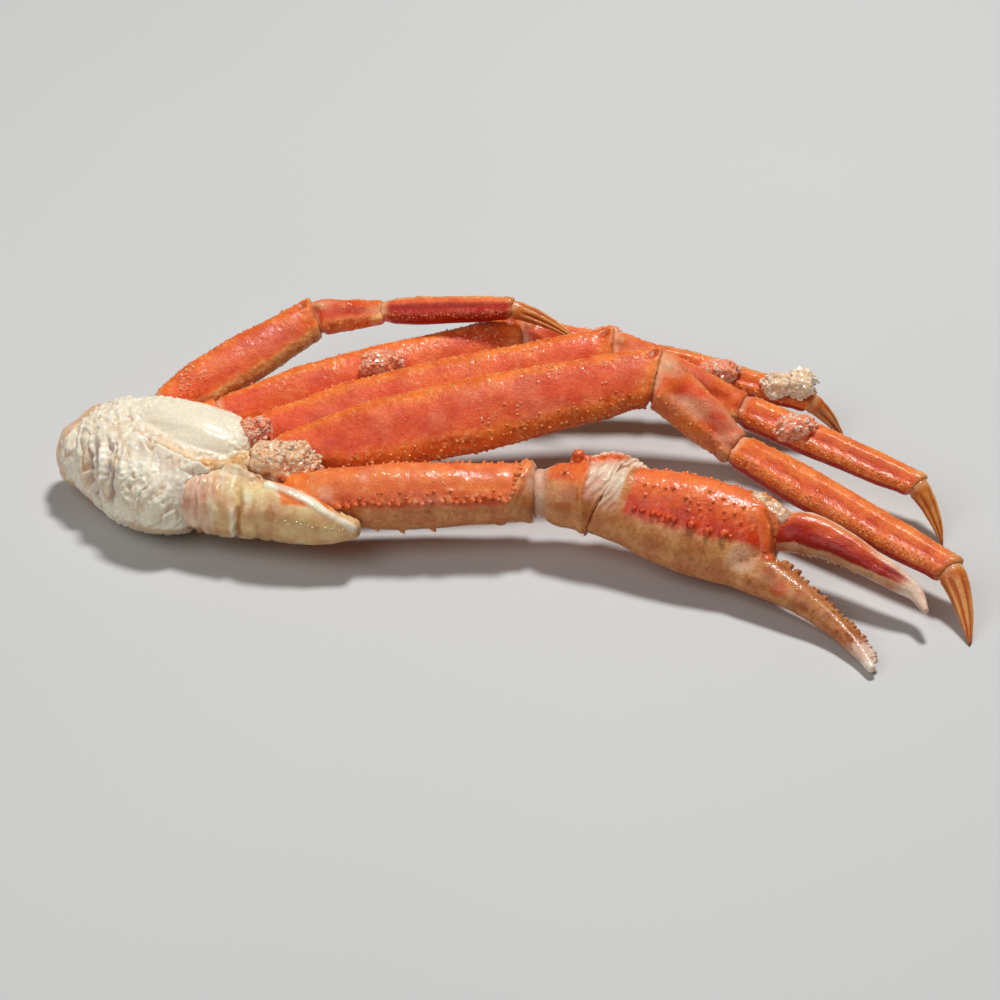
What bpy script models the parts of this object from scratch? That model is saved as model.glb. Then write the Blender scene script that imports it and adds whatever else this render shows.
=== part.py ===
"""A cooked snow crab cluster: half a body with its claw arm and four walking legs, as it lies on a table.

Each hard piece of the crab is one solid. A limb is a chain of pieces: at every joint a stub on the outer piece
sits in a cup on the inner piece, and the two rims meet on the plane that halves the bend. Places and sizes are in
millimetres from TABLE_MIDDLE: X runs from the body to the claw, Y to the back, Z up from the table.
"""

import math

import bmesh
import bpy
from mathutils import Vector, noise

MM = 0.001
TABLE_MIDDLE = Vector((1.9, -14.8, 0.0))

# Joints of the walking legs: body, hip, knee, wrist, ankle, tip.
LEG_JOINTS = {
    "leg_1": [(-86, -4, 18), (-73, -4, 20), (51, 14, 40), (77, -1, 21), (143, -57, 13), (148, -80, 0)],
    "leg_2": [(-92, 9, 16), (-80, 11, 18), (37, 32, 37), (80, 22, 21), (136, -12, 14), (144, -26, 0)],
    "leg_3": [(-104, 19, 16), (-93, 23, 18), (7, 52, 30), (52, 49, 24), (104, 37, 14), (116, 34, 0)],
    "leg_4": [(-120, 22, 16), (-113, 27, 18), (-62, 61, 32), (-39, 55, 38), (4, 51, 42), (27, 42, 34)],
}
# Half width and half depth at the widest of each leg's ischium, merus, carpus, propodus and dactylus.
LEG_SIZES = {
    "leg_1": [(7.0, 5.6), (12.2, 6.4), (7.6, 5.8), (6.6, 4.6), (4.4, 3.4)],
    "leg_2": [(6.6, 5.4), (11.0, 6.0), (7.4, 5.4), (5.7, 4.2), (3.5, 2.8)],
    "leg_3": [(6.0, 5.0), (9.6, 5.6), (5.8, 4.6), (5.0, 3.8), (3.2, 2.6)],
    "leg_4": [(5.4, 4.8), (8.4, 5.4), (5.0, 4.2), (4.6, 3.5), (3.0, 2.4)],
}
# Joints of the claw arm: hip, elbow, wrist, end of the palm.
CLAW_JOINTS = [(-66, -26, 19), (12, -24, 20), (34, -29, 21), (85, -48, 16)]
CLAW_COXA = [(-103, -21, 17), (-93, -25, 17), (-82, -28, 17)]
CLAW_ISCHIUM = [(-77, -30, 18), (-66, -33, 17), (-56, -36, 16), (-47, -38, 16)]
FIXED_FINGER = [(74, -50, 13), (90.5, -63, 10.5), (104, -75, 6.5), (112, -85.5, 4), (116, -95, 3)]
MOVING_FINGER = [(86, -47, 19), (96, -46, 20), (106, -50, 19), (115, -56, 17), (124, -62, 14.5), (131, -67, 12),
                 (134, -74, 10)]

# The body: (X, middle Y, middle Z, half width along Y, half height) from the cut side to the arm side.
BODY_STATIONS = [(-139, 5, 15.5, 10, 8), (-134, 3.5, 16, 16, 11.6), (-125, -1, 16.2, 23, 14.4), (-112, -5, 16.4, 27.5, 15),
                 (-98, -5, 16.4, 25.5, 14.6), (-88, -4, 16.5, 20, 13)]
LOBE = [(-120, 11, 24.5), (-112, 6, 26), (-98, -2.5, 26.5), (-86, -6, 25)]

# Clumps of crushed ice that lie on the crab: (middle, half sizes along X, Y and Z).
ICE_CLUMPS = {
    "ice_hips": [(-70, -16, 27), (13, 8, 6.5)],
    "ice_hip_back": [(-80, -3, 30), (7, 5, 4)],
    "ice_leg_3_merus": [(-40, 36, 30), (8.5, 5, 4.5)],
    "ice_leg_3_carpus": [(36, 50, 31), (6.5, 4.5, 3.5)],
    "ice_leg_2_propodus": [(97, 9, 22.5), (7.5, 4.5, 4)],
    "ice_leg_3_propodus": [(73, 42, 23), (7.5, 4.5, 3.8)],
    "ice_leg_3_ankle": [(97, 38.5, 20), (10, 6, 5)],
}

# What each clump on the legs lies on or beside.
ICE_ON_LEGS = {
    "ice_leg_3_merus": [("leg_3", "merus"), ("leg_2", "merus")],
    "ice_leg_3_carpus": [("leg_3", "carpus"), ("leg_2", "carpus")],
    "ice_leg_2_propodus": [("leg_2", "propodus")],
    "ice_leg_3_propodus": [("leg_3", "propodus")],
    "ice_leg_3_ankle": [("leg_3", "propodus")],
}

# The flat side of the legs, and of the palm, faces up and to the front.
LEG_FACE = Vector((0.0, -0.6, 0.8))
PALM_FACE = Vector((-0.1, -0.65, 0.75))
UP = Vector((0.0, 0.0, 1.0))
# The arm's last cup opens along this direction: it reaches further at the back than at the front.
WRIST_PLANE = Vector((0.86, -0.36, -0.36))

JOINT_GAP = 0.4
CUP_GAP = 0.6
ROOM_GAP = 0.35
STUB_SHARE = 0.7
TURN_SHARE = 0.22
SHELL_INSIDE = 0.4
SHELL_OUTSIDE = 1.7
MEAT_LUMPS = 0.8
ICE_LUMPS = 2.4

SHELL_ORANGE = ("shell_orange", (0.80, 0.17, 0.05), 0.38)
SHELL_CREAM = ("shell_cream", (0.80, 0.62, 0.40), 0.42)
MEAT_WHITE = ("meat_white", (0.86, 0.80, 0.68), 0.50)
ICE_CLEAR = ("ice_clear", (0.85, 0.90, 0.92), 0.10)


def material(look):
    """The plain Principled material that a look names, made once."""
    name, colour, roughness = look
    found = bpy.data.materials.get(name)
    if found:
        return found
    made = bpy.data.materials.new(name)
    made.use_nodes = True
    surface = made.node_tree.nodes["Principled BSDF"]
    surface.inputs["Base Color"].default_value = (*colour, 1.0)
    surface.inputs["Roughness"].default_value = roughness
    made.diffuse_color = (*colour, 1.0)
    return made


def smooth_share(share):
    return share * share * (3 - 2 * share)


def sizes_at(stations, share):
    """Half width and half depth at a share of a piece's length, eased between its stations."""
    for (s0, w0, d0), (s1, w1, d1) in zip(stations, stations[1:]):
        if share <= s1:
            ease = smooth_share((share - s0) / (s1 - s0))
            return w0 + (w1 - w0) * ease, d0 + (d1 - d0) * ease
    return stations[-1][1:]


def spline_point(points, turn):
    """A point on the smooth curve through all points; turn counts points from 0."""
    k = min(int(turn), len(points) - 2)
    t = turn - k
    p1, p2 = points[k], points[k + 1]
    p0 = points[k - 1] if k else p1 * 2 - p2
    p3 = points[k + 2] if k + 2 < len(points) else p2 * 2 - p1
    return ((p1 * 2) + (p2 - p0) * t + (p0 * 2 - p1 * 5 + p2 * 4 - p3) * t * t
            + (p1 * 3 - p0 - p2 * 3 + p3) * t ** 3) / 2


def across(along, face):
    """Two unit vectors across a direction: the wide one, and the one that the flat side faces."""
    normal = (face - along * face.dot(along)).normalized()
    return normal.cross(along).normalized(), normal


def ring(centre, axes, half_width, half_depth, count, power=2.2):
    """A super-ellipse of points about a centre."""
    wide, normal = axes
    points = []
    for k in range(count):
        c, s = math.cos(math.tau * k / count), math.sin(math.tau * k / count)
        x = math.copysign(abs(c) ** (2 / power), c) * half_width
        y = math.copysign(abs(s) ** (2 / power), s) * half_depth
        points.append(centre + wide * x + normal * y)
    return points


def dome(centre, pole, axes, half_width, half_depth, length, count, steps=2):
    """Rings of a half ball on a plane at centre: the pole point first, the plane's own ring left out."""
    rings = [[centre + pole * length]]
    for step in range(1, steps):
        lift = math.pi / 2 * step / steps
        size = math.sin(lift)
        rings.append(ring(centre + pole * (length * math.cos(lift)), axes, half_width * size, half_depth * size, count))
    return rings


def lumpy(rings, depth, spacing):
    """Pushes ring points in and out by smooth noise, to make an uneven outline."""
    if not depth:
        return rings
    pushed = []
    for points in rings:
        middle = sum(points, Vector()) / len(points)
        pushed.append([p + (p - middle).normalized() * depth * noise.noise(p / spacing) for p in points])
    return pushed


def solid(name, rings, look):
    """One closed solid through rings of equal count; the first and last entries are single pole points."""
    mesh = bmesh.new()
    layers = [[mesh.verts.new((p - TABLE_MIDDLE) * MM) for p in points] for points in rings]
    for first, second in zip(layers, layers[1:]):
        count = max(len(first), len(second))
        for k in range(count):
            m = (k + 1) % count
            corners = (first[k % len(first)], first[m % len(first)], second[m % len(second)], second[k % len(second)])
            mesh.faces.new(list(dict.fromkeys(corners)))
    bmesh.ops.recalc_face_normals(mesh, faces=mesh.faces)
    data = bpy.data.meshes.new(name)
    mesh.to_mesh(data)
    mesh.free()
    data.shade_smooth()
    data.set_sharp_from_angle(angle=math.radians(50))
    data.materials.append(material(look))
    made = bpy.data.objects.new(name, data)
    bpy.context.collection.objects.link(made)
    return made


def as_tool(made):
    """Keeps an object out of the cluster, as a tool for Booleans only."""
    made.hide_render = True
    made.display_type = "WIRE"
    return made


def combine(target, tool, operation="DIFFERENCE"):
    modifier = target.modifiers.new(f"{operation.lower()}_{tool.name}", "BOOLEAN")
    modifier.operation = operation
    modifier.object = tool


def limb_piece(name, ends, planes, face, stations, look, count=12, rings=6, grow=0.0):
    """A tube from one joint plane to the next, with a stub before its start and a cup at its end.

    stations are (share of length, half width, half depth), and grow swells the piece into a tool that leaves room.
    """
    (start, end), (first, last) = ends, planes
    along = (end - start).normalized()
    gap = JOINT_GAP / 2 - grow
    width, depth = sizes_at(stations, 0)
    width, depth = width * STUB_SHARE + grow, depth * STUB_SHARE + grow
    made = dome(start, -first, across(first, face), width, depth, width, count)
    made.append(ring(start + first * gap, across(first, face), width, depth, count))
    for k in range(rings + 1):
        share = k / rings
        near = min(share, 1 - share) / TURN_SHARE
        plane = first if share < 0.5 else last
        if near < 1:
            plane = plane.lerp(along, smooth_share(near)).normalized()
        else:
            plane = along
        centre = start.lerp(end, share)
        centre += first * gap if k == 0 else last * (-gap if k == rings else 0)
        width, depth = sizes_at(stations, share)
        made.append(ring(centre, across(plane, face), width / plane.dot(along) + grow, depth + grow, count))
    if grow:
        made.append([end - last * gap])
    else:
        width, depth = width * STUB_SHARE + CUP_GAP, depth * STUB_SHARE + CUP_GAP
        rim = ring(end - last * gap, across(last, face), width, depth, count)
        made += [rim] + dome(end, -last, across(last, face), width, depth, width, count)[::-1]
    return solid(name, made, look)


def sweep(name, points, sizes, face, look, count=12, samples=2, ends=(0.7, 0.7), lumps=(0.0, 1.0), square_to=None,
          grow=0.0):
    """A solid along the smooth curve through its points, with a rounded end at both sides.

    sizes are (half width, half depth) at each point, and ends are the two end domes' lengths by half depth. The
    rings stand square to the curve, or all of them to the one direction square_to.
    """
    points = [Vector(p) for p in points]
    last = len(points) - 1
    made = []
    for k in range(last * samples + 1):
        turn = k / samples
        whole = min(int(turn), last - 1)
        part = turn - whole
        width = sizes[whole][0] * (1 - part) + sizes[whole + 1][0] * part + grow
        depth = sizes[whole][1] * (1 - part) + sizes[whole + 1][1] * part + grow
        ahead, behind = (spline_point(points, min(max(turn + step, 0), last)) for step in (0.05, -0.05))
        along = square_to or (ahead - behind).normalized()
        centre = spline_point(points, turn)
        axes = across(along, face)
        if k == 0:
            made += dome(centre, -along, axes, width, depth, (depth - grow) * ends[0] + grow, count)
        made.append(ring(centre, axes, width, depth, count))
        if k == last * samples:
            made += dome(centre, along, axes, width, depth, (depth - grow) * ends[1] + grow, count)[::-1]
    return solid(name, lumpy(made, *lumps), look)


def room(make, name, *args, **form):
    """The same shape as make gives, swollen by the gap that neighbours keep, as a tool."""
    return as_tool(make(f"room_{name}", *args, grow=ROOM_GAP, **form))


def floor_tool():
    """A block below the table's surface, which gives what rests on it a small flat spot."""
    half, depth = 170, 20
    corners = [Vector((x, y, 0)) + TABLE_MIDDLE for x, y in ((-half, -half), (half, -half), (half, half), (-half, half))]
    below = [p - UP * depth for p in corners]
    middle = TABLE_MIDDLE
    return as_tool(solid("tool_floor", [[middle - UP * depth], below, corners, [middle]], SHELL_CREAM))


def joint_planes(joints):
    """The direction of each stretch, and the plane across each joint as its normal."""
    along = [(b - a).normalized() for a, b in zip(joints, joints[1:])]
    return along, [along[0]] + [(a + b).normalized() for a, b in zip(along, along[1:])] + [along[-1]]


def walking_leg(name):
    """The five pieces of one walking leg. Returns the tools that leave room for its first four pieces."""
    joints = [Vector(p) for p in LEG_JOINTS[name]]
    planes = joint_planes(joints)[1]
    hip, merus, carpus, propodus, dactylus = LEG_SIZES[name]
    knee, wrist, ankle = [(w * 0.74, d * 0.84) for w, d in (merus, carpus, propodus)]
    stretches = [
        ("ischium", [(0, hip[0] * 0.85, hip[1] * 0.85), (1, *hip)], 2),
        ("merus", [(0, *hip), (0.3, merus[0] * 0.97, merus[1]), (0.5, *merus),
                   (0.85, merus[0] * 0.86, merus[1] * 0.92), (1, *knee)], 7),
        ("carpus", [(0, *knee), (0.55, *carpus), (1, *wrist)], 4),
        ("propodus", [(0, *wrist), (0.3, *propodus), (0.75, propodus[0] * 0.9, propodus[1] * 0.9), (1, *ankle)], 5),
    ]
    rooms = {}
    for k, (part, stations, rings) in enumerate(stretches):
        shape = ((joints[k], joints[k + 1]), (planes[k], planes[k + 1]), LEG_FACE, stations, SHELL_ORANGE)
        limb_piece(f"{name}_{part}", *shape, rings=rings)
        rooms[part] = room(limb_piece, f"{name}_{part}", *shape, rings=rings)
    claw_nail(f"{name}_dactylus", joints[4], joints[5], planes[4], ankle, dactylus)
    return rooms


def claw_nail(name, start, tip, first, root, widest):
    """The pointed last piece of a walking leg, bowed a little to the front."""
    count = 10
    along = (tip - start).normalized()
    bow = across(along, LEG_FACE)[0] * 0.05 * (tip - start).length
    width, depth = root[0] * STUB_SHARE, root[1] * STUB_SHARE
    made = dome(start, -first, across(first, LEG_FACE), width, depth, width, count)
    base = start + first * JOINT_GAP / 2
    made += [ring(base, across(first, LEG_FACE), *size, count) for size in ((width, depth), root)]
    for share, size in ((0.2, 1.0), (0.4, 0.86), (0.6, 0.64), (0.8, 0.38), (0.93, 0.18)):
        centre = start.lerp(tip, share) + bow * (4 * share * (1 - share))
        made.append(ring(centre, across(along, LEG_FACE), widest[0] * size, widest[1] * size, count))
    made.append([tip])
    return solid(name, made, SHELL_ORANGE)


def claw_arm(floor):
    """The claw arm from its coxa to the two fingers. Returns the tools that leave room for it."""
    joints = [Vector(p) for p in CLAW_JOINTS]
    planes = joint_planes(joints)[1]
    planes[2] = WRIST_PLANE.normalized()
    shapes = {
        "merus": ([(0, 6.5, 6.5), (0.22, 9.6, 8.6), (0.45, 10.9, 9.4), (0.85, 9.9, 8.8), (1, 9.6, 8.4)], 8),
        "carpus": ([(0, 8.4, 7.6), (0.4, 10.8, 9.0), (1, 12.4, 10.0)], 5),
    }
    rooms = {}
    for k, (part, (stations, rings)) in enumerate(shapes.items()):
        shape = ((joints[k], joints[k + 1]), (planes[k], planes[k + 1]), LEG_FACE, stations, SHELL_ORANGE)
        limb_piece(f"claw_{part}", *shape, rings=rings, count=14)
        rooms[part] = room(limb_piece, f"claw_{part}", *shape, rings=rings, count=14)

    coxa_sizes = [(10.2, 10.2), (10.8, 10.8), (10.4, 10.2)]
    coxa = ("claw_coxa", CLAW_COXA, coxa_sizes, LEG_FACE, SHELL_CREAM)
    sweep(*coxa, count=14, ends=(0.5, 0.1))
    rooms["coxa"] = room(sweep, *coxa, count=14, ends=(0.5, 0.1))
    flared = ("claw_ischium", CLAW_ISCHIUM, [(9.8, 10.2), (8.8, 9.5), (6.4, 7.2), (3.2, 4.0)], LEG_FACE, SHELL_CREAM)
    ischium = sweep(*flared, count=14, ends=(0.25, 0.6))
    rooms["ischium"] = room(sweep, *flared, count=14, ends=(0.25, 0.6))
    combine(ischium, rooms["merus"])
    combine(ischium, rooms["coxa"])

    finger_sizes = [(4.8, 3.8), (6.9, 4.8), (5.9, 4.5), (4.8, 4.0), (4.1, 3.4), (3.2, 2.8), (1.8, 1.8)]
    moving = ("claw_moving_finger", MOVING_FINGER, finger_sizes, PALM_FACE, SHELL_ORANGE)
    sweep(*moving, ends=(0.9, 0.6))
    finger_room = room(sweep, *moving, ends=(0.9, 0.6))

    palm = claw_palm(joints[2], joints[3], planes[2])
    combine(palm, finger_room)
    combine(palm, floor)
    rooms["palm"] = palm
    return rooms


def claw_palm(wrist, end, first):
    """The palm with its fixed finger, in one piece."""
    count = 14
    along = (end - wrist).normalized()
    stub = (12.4 * STUB_SHARE, 10.0 * STUB_SHARE)
    made = dome(wrist, -first, across(first, PALM_FACE), *stub, stub[0], count)
    base = wrist + first * JOINT_GAP / 2
    made += [ring(base, across(first, PALM_FACE), *size, count) for size in (stub, (11.0, 8.6))]
    for share, width, depth in ((0.16, 12.6, 9.2), (0.34, 15.0, 10.0), (0.55, 16.2, 10.4), (0.75, 16.0, 10.0),
                                (0.92, 15.4, 9.0), (1.03, 12.4, 7.0)):
        made.append(ring(wrist.lerp(end, share), across(along, PALM_FACE), width, depth, count))
    made.append([wrist.lerp(end, 1.08)])
    palm = solid("claw_palm", made, SHELL_ORANGE)
    finger = sweep("tool_fixed_finger", FIXED_FINGER, [(9.0, 6.4), (5.8, 4.8), (3.8, 3.5), (3.0, 3.0), (2.2, 2.2)],
                   PALM_FACE, SHELL_CREAM, ends=(0.4, 0.7))
    combine(palm, as_tool(finger), "UNION")
    return palm


def body(rooms, floor):
    """The half body: the meat, its upper lobe, and the thin shell tray below and behind them.

    Returns the tools that leave room for the meat and the lobe.
    """
    places = [station[:3] for station in BODY_STATIONS]
    sizes = [station[3:] for station in BODY_STATIONS]
    lobe = ("shoulder_lobe", LOBE, [(7.0, 6.5), (9.5, 8.5), (12.0, 9.3), (10.0, 8.0)], UP, MEAT_WHITE)
    upper = sweep(*lobe, count=14)
    lobe_room = room(sweep, *lobe, count=14)

    form = {"count": 22, "samples": 2, "ends": (0.6, 0.5), "square_to": Vector((1, 0, 0))}
    meat = sweep("shoulder_meat", places, sizes, UP, MEAT_WHITE, lumps=(MEAT_LUMPS, 9.0), **form)
    combine(meat, lobe_room)

    tray = sweep("shoulder_shell", places, sizes, UP, SHELL_CREAM, grow=MEAT_LUMPS + SHELL_OUTSIDE, **form)
    inside = sweep("tool_tray_inside", places, sizes, UP, SHELL_CREAM, grow=MEAT_LUMPS + SHELL_INSIDE, **form)
    for tool in (as_tool(inside), tray_opening(), lobe_room, floor):
        combine(tray, tool)
    for hip in rooms:
        for target in (upper, meat, tray):
            combine(target, hip)
    meat_room = as_tool(sweep("room_shoulder_meat", places, sizes, UP, MEAT_WHITE, grow=MEAT_LUMPS + ROOM_GAP, **form))
    return [lobe_room, meat_room]


def tray_opening():
    """A block over a slope from the front's foot to the back's top, which opens the shell tray."""
    slope = Vector((0, 0.62, -0.78)).normalized()
    low = Vector((-112, -20, 3))
    side = UP.cross(slope).normalized()
    reach = 90
    face = [low + side * (reach * a) + slope.cross(side) * (reach * b) for a, b in ((-1, -1), (1, -1), (1, 1), (-1, 1))]
    far = [p - slope * reach for p in face]
    return as_tool(solid("tool_tray_opening", [[low], face, far, [low - slope * reach]], SHELL_CREAM))


def ice_clump(name, rooms):
    """One clump of crushed ice, uneven all round, hollowed below by the pieces that it lies on."""
    middle, half = ICE_CLUMPS[name]
    middle = Vector(middle)
    count, steps = 10, 6
    rings = [[middle - Vector((half[0], 0, 0))]]
    for step in range(1, steps):
        turn = math.pi * step / steps
        centre = middle - Vector((half[0] * math.cos(turn), 0, 0))
        size = math.sin(turn)
        rings.append(ring(centre, (Vector((0, 1, 0)), UP), half[1] * size, half[2] * size, count))
    rings.append([middle + Vector((half[0], 0, 0))])
    clump = solid(name, lumpy(rings, ICE_LUMPS, 4.0), ICE_CLEAR)
    for tool in rooms:
        combine(clump, tool)


def build():
    for old in list(bpy.data.objects):
        bpy.data.objects.remove(old, do_unlink=True)
    floor = floor_tool()
    legs = {name: walking_leg(name) for name in LEG_JOINTS}
    arm = claw_arm(floor)
    hips = [rooms[part] for rooms in legs.values() for part in ("ischium", "merus")]
    shoulder = body(hips + [arm["coxa"]], floor)
    ice_on_body = [legs["leg_1"]["ischium"], legs["leg_1"]["merus"], legs["leg_2"]["merus"], *shoulder]
    ice_clump("ice_hips", [*ice_on_body, arm["merus"], arm["ischium"], arm["coxa"]])
    ice_clump("ice_hip_back", ice_on_body)
    for name, pieces in ICE_ON_LEGS.items():
        ice_clump(name, [legs[leg][part] for leg, part in pieces])


build()
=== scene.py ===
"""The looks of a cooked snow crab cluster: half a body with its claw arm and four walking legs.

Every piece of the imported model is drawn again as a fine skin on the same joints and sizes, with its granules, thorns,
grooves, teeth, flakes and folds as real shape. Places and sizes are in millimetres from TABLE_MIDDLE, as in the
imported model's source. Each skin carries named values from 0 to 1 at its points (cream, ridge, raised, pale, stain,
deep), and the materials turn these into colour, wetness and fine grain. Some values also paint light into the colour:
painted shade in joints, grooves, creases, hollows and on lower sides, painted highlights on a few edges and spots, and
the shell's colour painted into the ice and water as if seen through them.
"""

import itertools
import math
from types import SimpleNamespace

import bpy
import numpy as np
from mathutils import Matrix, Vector


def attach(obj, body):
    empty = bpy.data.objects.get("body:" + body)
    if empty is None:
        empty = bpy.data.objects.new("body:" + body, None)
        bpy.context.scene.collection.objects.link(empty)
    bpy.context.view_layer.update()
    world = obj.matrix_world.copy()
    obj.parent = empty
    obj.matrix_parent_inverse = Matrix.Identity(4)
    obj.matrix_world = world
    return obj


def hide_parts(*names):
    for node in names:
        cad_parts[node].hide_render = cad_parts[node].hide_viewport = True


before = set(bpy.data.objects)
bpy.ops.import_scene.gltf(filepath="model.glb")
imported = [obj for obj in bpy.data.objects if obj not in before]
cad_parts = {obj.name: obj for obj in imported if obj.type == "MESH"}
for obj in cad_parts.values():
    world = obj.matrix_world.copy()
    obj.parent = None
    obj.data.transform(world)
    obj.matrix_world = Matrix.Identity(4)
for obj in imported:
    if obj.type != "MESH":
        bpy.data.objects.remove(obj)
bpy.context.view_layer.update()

MM = 0.001
TABLE_MIDDLE = np.array((1.9, -14.8, 0.0))

# Joints of the walking legs: body, hip, knee, wrist, ankle, tip.
LEG_JOINTS = {
    "leg_1": [(-86, -4, 18), (-73, -4, 20), (51, 14, 40), (77, -1, 21), (143, -57, 13), (148, -80, 0)],
    "leg_2": [(-92, 9, 16), (-80, 11, 18), (37, 32, 37), (80, 22, 21), (136, -12, 14), (144, -26, 0)],
    "leg_3": [(-104, 19, 16), (-93, 23, 18), (7, 52, 30), (52, 49, 24), (104, 37, 14), (116, 34, 0)],
    "leg_4": [(-120, 22, 16), (-113, 27, 18), (-62, 61, 32), (-39, 55, 38), (4, 51, 42), (27, 42, 34)],
}
# Half width and half depth at the widest of each leg's ischium, merus, carpus, propodus and dactylus.
LEG_SIZES = {
    "leg_1": [(7.0, 5.6), (12.2, 6.4), (7.6, 5.8), (6.6, 4.6), (4.4, 3.4)],
    "leg_2": [(6.6, 5.4), (11.0, 6.0), (7.4, 5.4), (5.7, 4.2), (3.5, 2.8)],
    "leg_3": [(6.0, 5.0), (9.6, 5.6), (5.8, 4.6), (5.0, 3.8), (3.2, 2.6)],
    "leg_4": [(5.4, 4.8), (8.4, 5.4), (5.0, 4.2), (4.6, 3.5), (3.0, 2.4)],
}
# How each leg is coloured: warm patches on its merus, pink on its carpus, and cream along its propodus' top edge.
LEG_TINTS = {"leg_1": (0.2, 0.85, 0.15), "leg_2": (0.5, 0.3, 0.15), "leg_3": (0.5, 0.3, 0.9), "leg_4": (0.4, 0.85, 0.8)}
LAST_LEG = "leg_4"

# Joints of the claw arm: hip, elbow, wrist, end of the palm.
CLAW_JOINTS = [(-66, -26, 19), (12, -24, 20), (34, -29, 21), (85, -48, 16)]
CLAW_COXA = [(-103, -21, 17), (-93, -25, 17), (-82, -28, 17)]
CLAW_BRIDGE = [(-88, -26.5, 17), (-80, -28.5, 17), (-72, -31.5, 17.3)]
CLAW_ISCHIUM = [(-77, -30, 18), (-66, -33, 17), (-56, -36, 16), (-47, -38, 16)]
FIXED_FINGER = [(74, -50, 13), (90.5, -63, 10.5), (104, -75, 6.5), (112, -85.5, 4), (116, -95, 3)]
FIXED_FINGER_SIZES = [(9.0, 6.4), (5.8, 4.8), (3.8, 3.5), (2.8, 2.8), (1.5, 1.5)]
MOVING_FINGER = [(86, -47, 19), (96, -46, 20), (106, -50, 19), (115, -56, 17), (124, -62, 14.5), (131, -67, 12),
                 (134, -74, 10)]
MOVING_FINGER_SIZES = [(4.8, 3.8), (6.9, 4.8), (5.9, 4.5), (4.8, 4.0), (4.0, 3.3), (2.7, 2.4), (1.1, 1.2)]
# The flap of shell over the inside of the wrist, and the raised edge of the claw's ischium, from its top to its tip.
WRIST_HORN = [(29, -19, 27.0), (36, -17.5, 28.0), (43, -19.5, 27.6), (48, -22.5, 27.0)]
ISCHIUM_CREST = [(-71, -31.5, 28.3), (-62, -35.5, 26), (-52, -40.5, 22.5), (-46, -42.5, 18.5)]

# The body: (X, middle Y, middle Z, half width along Y, half height) from the cut side to the arm side.
BODY_STATIONS = [(-139, 5, 15.5, 10, 8), (-134, 3.5, 16, 16, 11.6), (-125, -1, 16.2, 23, 14.4),
                 (-112, -5, 16.4, 27.5, 15), (-98, -5, 16.4, 25.5, 14.6), (-88, -4, 16.5, 20, 13)]
BODY_GROW = 0.5
BODY_LUMPS = [((-99, -20, 25.5), (8, 4.5, 4)), ((-113, -11, 27), (9, 6, 4.5)), ((-92, -19, 25), (6, 4.5, 3.5)),
              ((-84, -15, 26.0), (3.0, 3.5, 3.2)), ((-110, -12, 28.5), (5, 5, 3.4))]
LOBE = [(-120, 11, 24.5), (-112, 6, 26), (-98, -2.5, 26.5), (-86, -6, 25)]
LOBE_SIZES = [(7.0, 6.5), (9.5, 8.5), (12.0, 9.3), (10.0, 8.0)]
SADDLE = [(-131, 7, 20), (-125, 8.5, 23.5), (-117, 6, 25.5)]
SADDLE_SIZES = [(8, 6.5), (10.5, 7.5), (10.5, 7.5)]
FLAP_LINE = [(-120, -7, 31), (-115.5, -10.0, 31.4), (-111, -13.5, 31), (-105.5, -17.5, 30.2), (-100, -20.5, 29.2),
             (-94, -22, 28)]

# Clumps of crushed ice that lie on the crab: (middle, half sizes along X, Y and Z, material).
ICE_CLUMPS = {
    "ice_hips": [(-70, -16, 27), (13, 8, 6.5), "tan_ice"],
    "ice_hip_back": [(-80, -3, 30), (7, 5, 4), "orange_ice"],
    "ice_leg_3_merus": [(-40, 36, 30), (8.5, 5, 4.5), "orange_ice"],
    "ice_leg_3_carpus": [(36, 50, 31), (6.5, 4.5, 3.5), "orange_ice"],
    "ice_leg_2_propodus": [(97, 9, 22.5), (7.5, 4.5, 4), "orange_ice"],
    "ice_leg_3_propodus": [(73, 42, 23), (7.5, 4.5, 3.8), "orange_ice"],
    "ice_leg_3_ankle": [(97, 38.5, 20), (10, 6, 5), "milky_ice"],
}
# Each ice material: the colours of its light and dark parts, and its gloss.
# The light and dark colours are painted lit and shaded ice, mixed at random; their orange, tan or red is the shell
# under the ice, crumbs and water painted in as if seen through them.
ICE_TONES = {
    "tan_ice": ((1.0, 0.76, 0.54), (0.92, 0.46, 0.22), 0.08),
    "tan_ice_grains": ((1.0, 0.90, 0.76), (0.93, 0.50, 0.26), 0.04),
    "orange_ice": ((1.0, 0.50, 0.32), (0.92, 0.22, 0.09), 0.08),
    "orange_ice_grains": ((1.0, 0.80, 0.66), (0.95, 0.26, 0.12), 0.04),
    "milky_ice": ((0.98, 0.82, 0.62), (0.90, 0.58, 0.34), 0.08),
    "milky_ice_grains": ((0.99, 0.94, 0.86), (0.95, 0.76, 0.56), 0.04),
    "ice_crumbs": ((1.0, 0.60, 0.40), (1.0, 0.34, 0.18), 0.04),
    "water": ((0.96, 0.36, 0.20), (0.92, 0.26, 0.13), 0.02),
}
# Where water and crumbs cling: (piece, count, runs along it, angles round it, size).
WET_AREAS = [
    ("leg_1_merus", 70, (66, 126), (25, 120), 0.45), ("leg_1_merus", 20, (10, 66), (40, 165), 0.35),
    ("leg_2_merus", 24, (20, 120), (30, 120), 0.35), ("leg_3_merus", 50, (86, 112), (30, 140), 0.5),
    ("leg_3_merus", 12, (10, 80), (30, 120), 0.35), ("leg_4_merus", 40, (6, 20), (40, 120), 0.5),
    ("leg_4_carpus", 24, (4, 24), (30, 150), 0.4), ("leg_1_carpus", 20, (4, 34), (30, 150), 0.35),
    ("leg_1_propodus", 20, (40, 84), (100, 160), 0.35), ("leg_1_propodus", 16, (4, 60), (60, 140), 0.3),
    ("leg_2_propodus", 16, (8, 60), (60, 150), 0.35), ("leg_3_carpus", 30, (10, 46), (60, 160), 0.45),
    ("leg_3_propodus", 30, (10, 52), (30, 150), 0.45), ("claw_merus", 24, (20, 76), (60, 118), 0.3),
]

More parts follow.
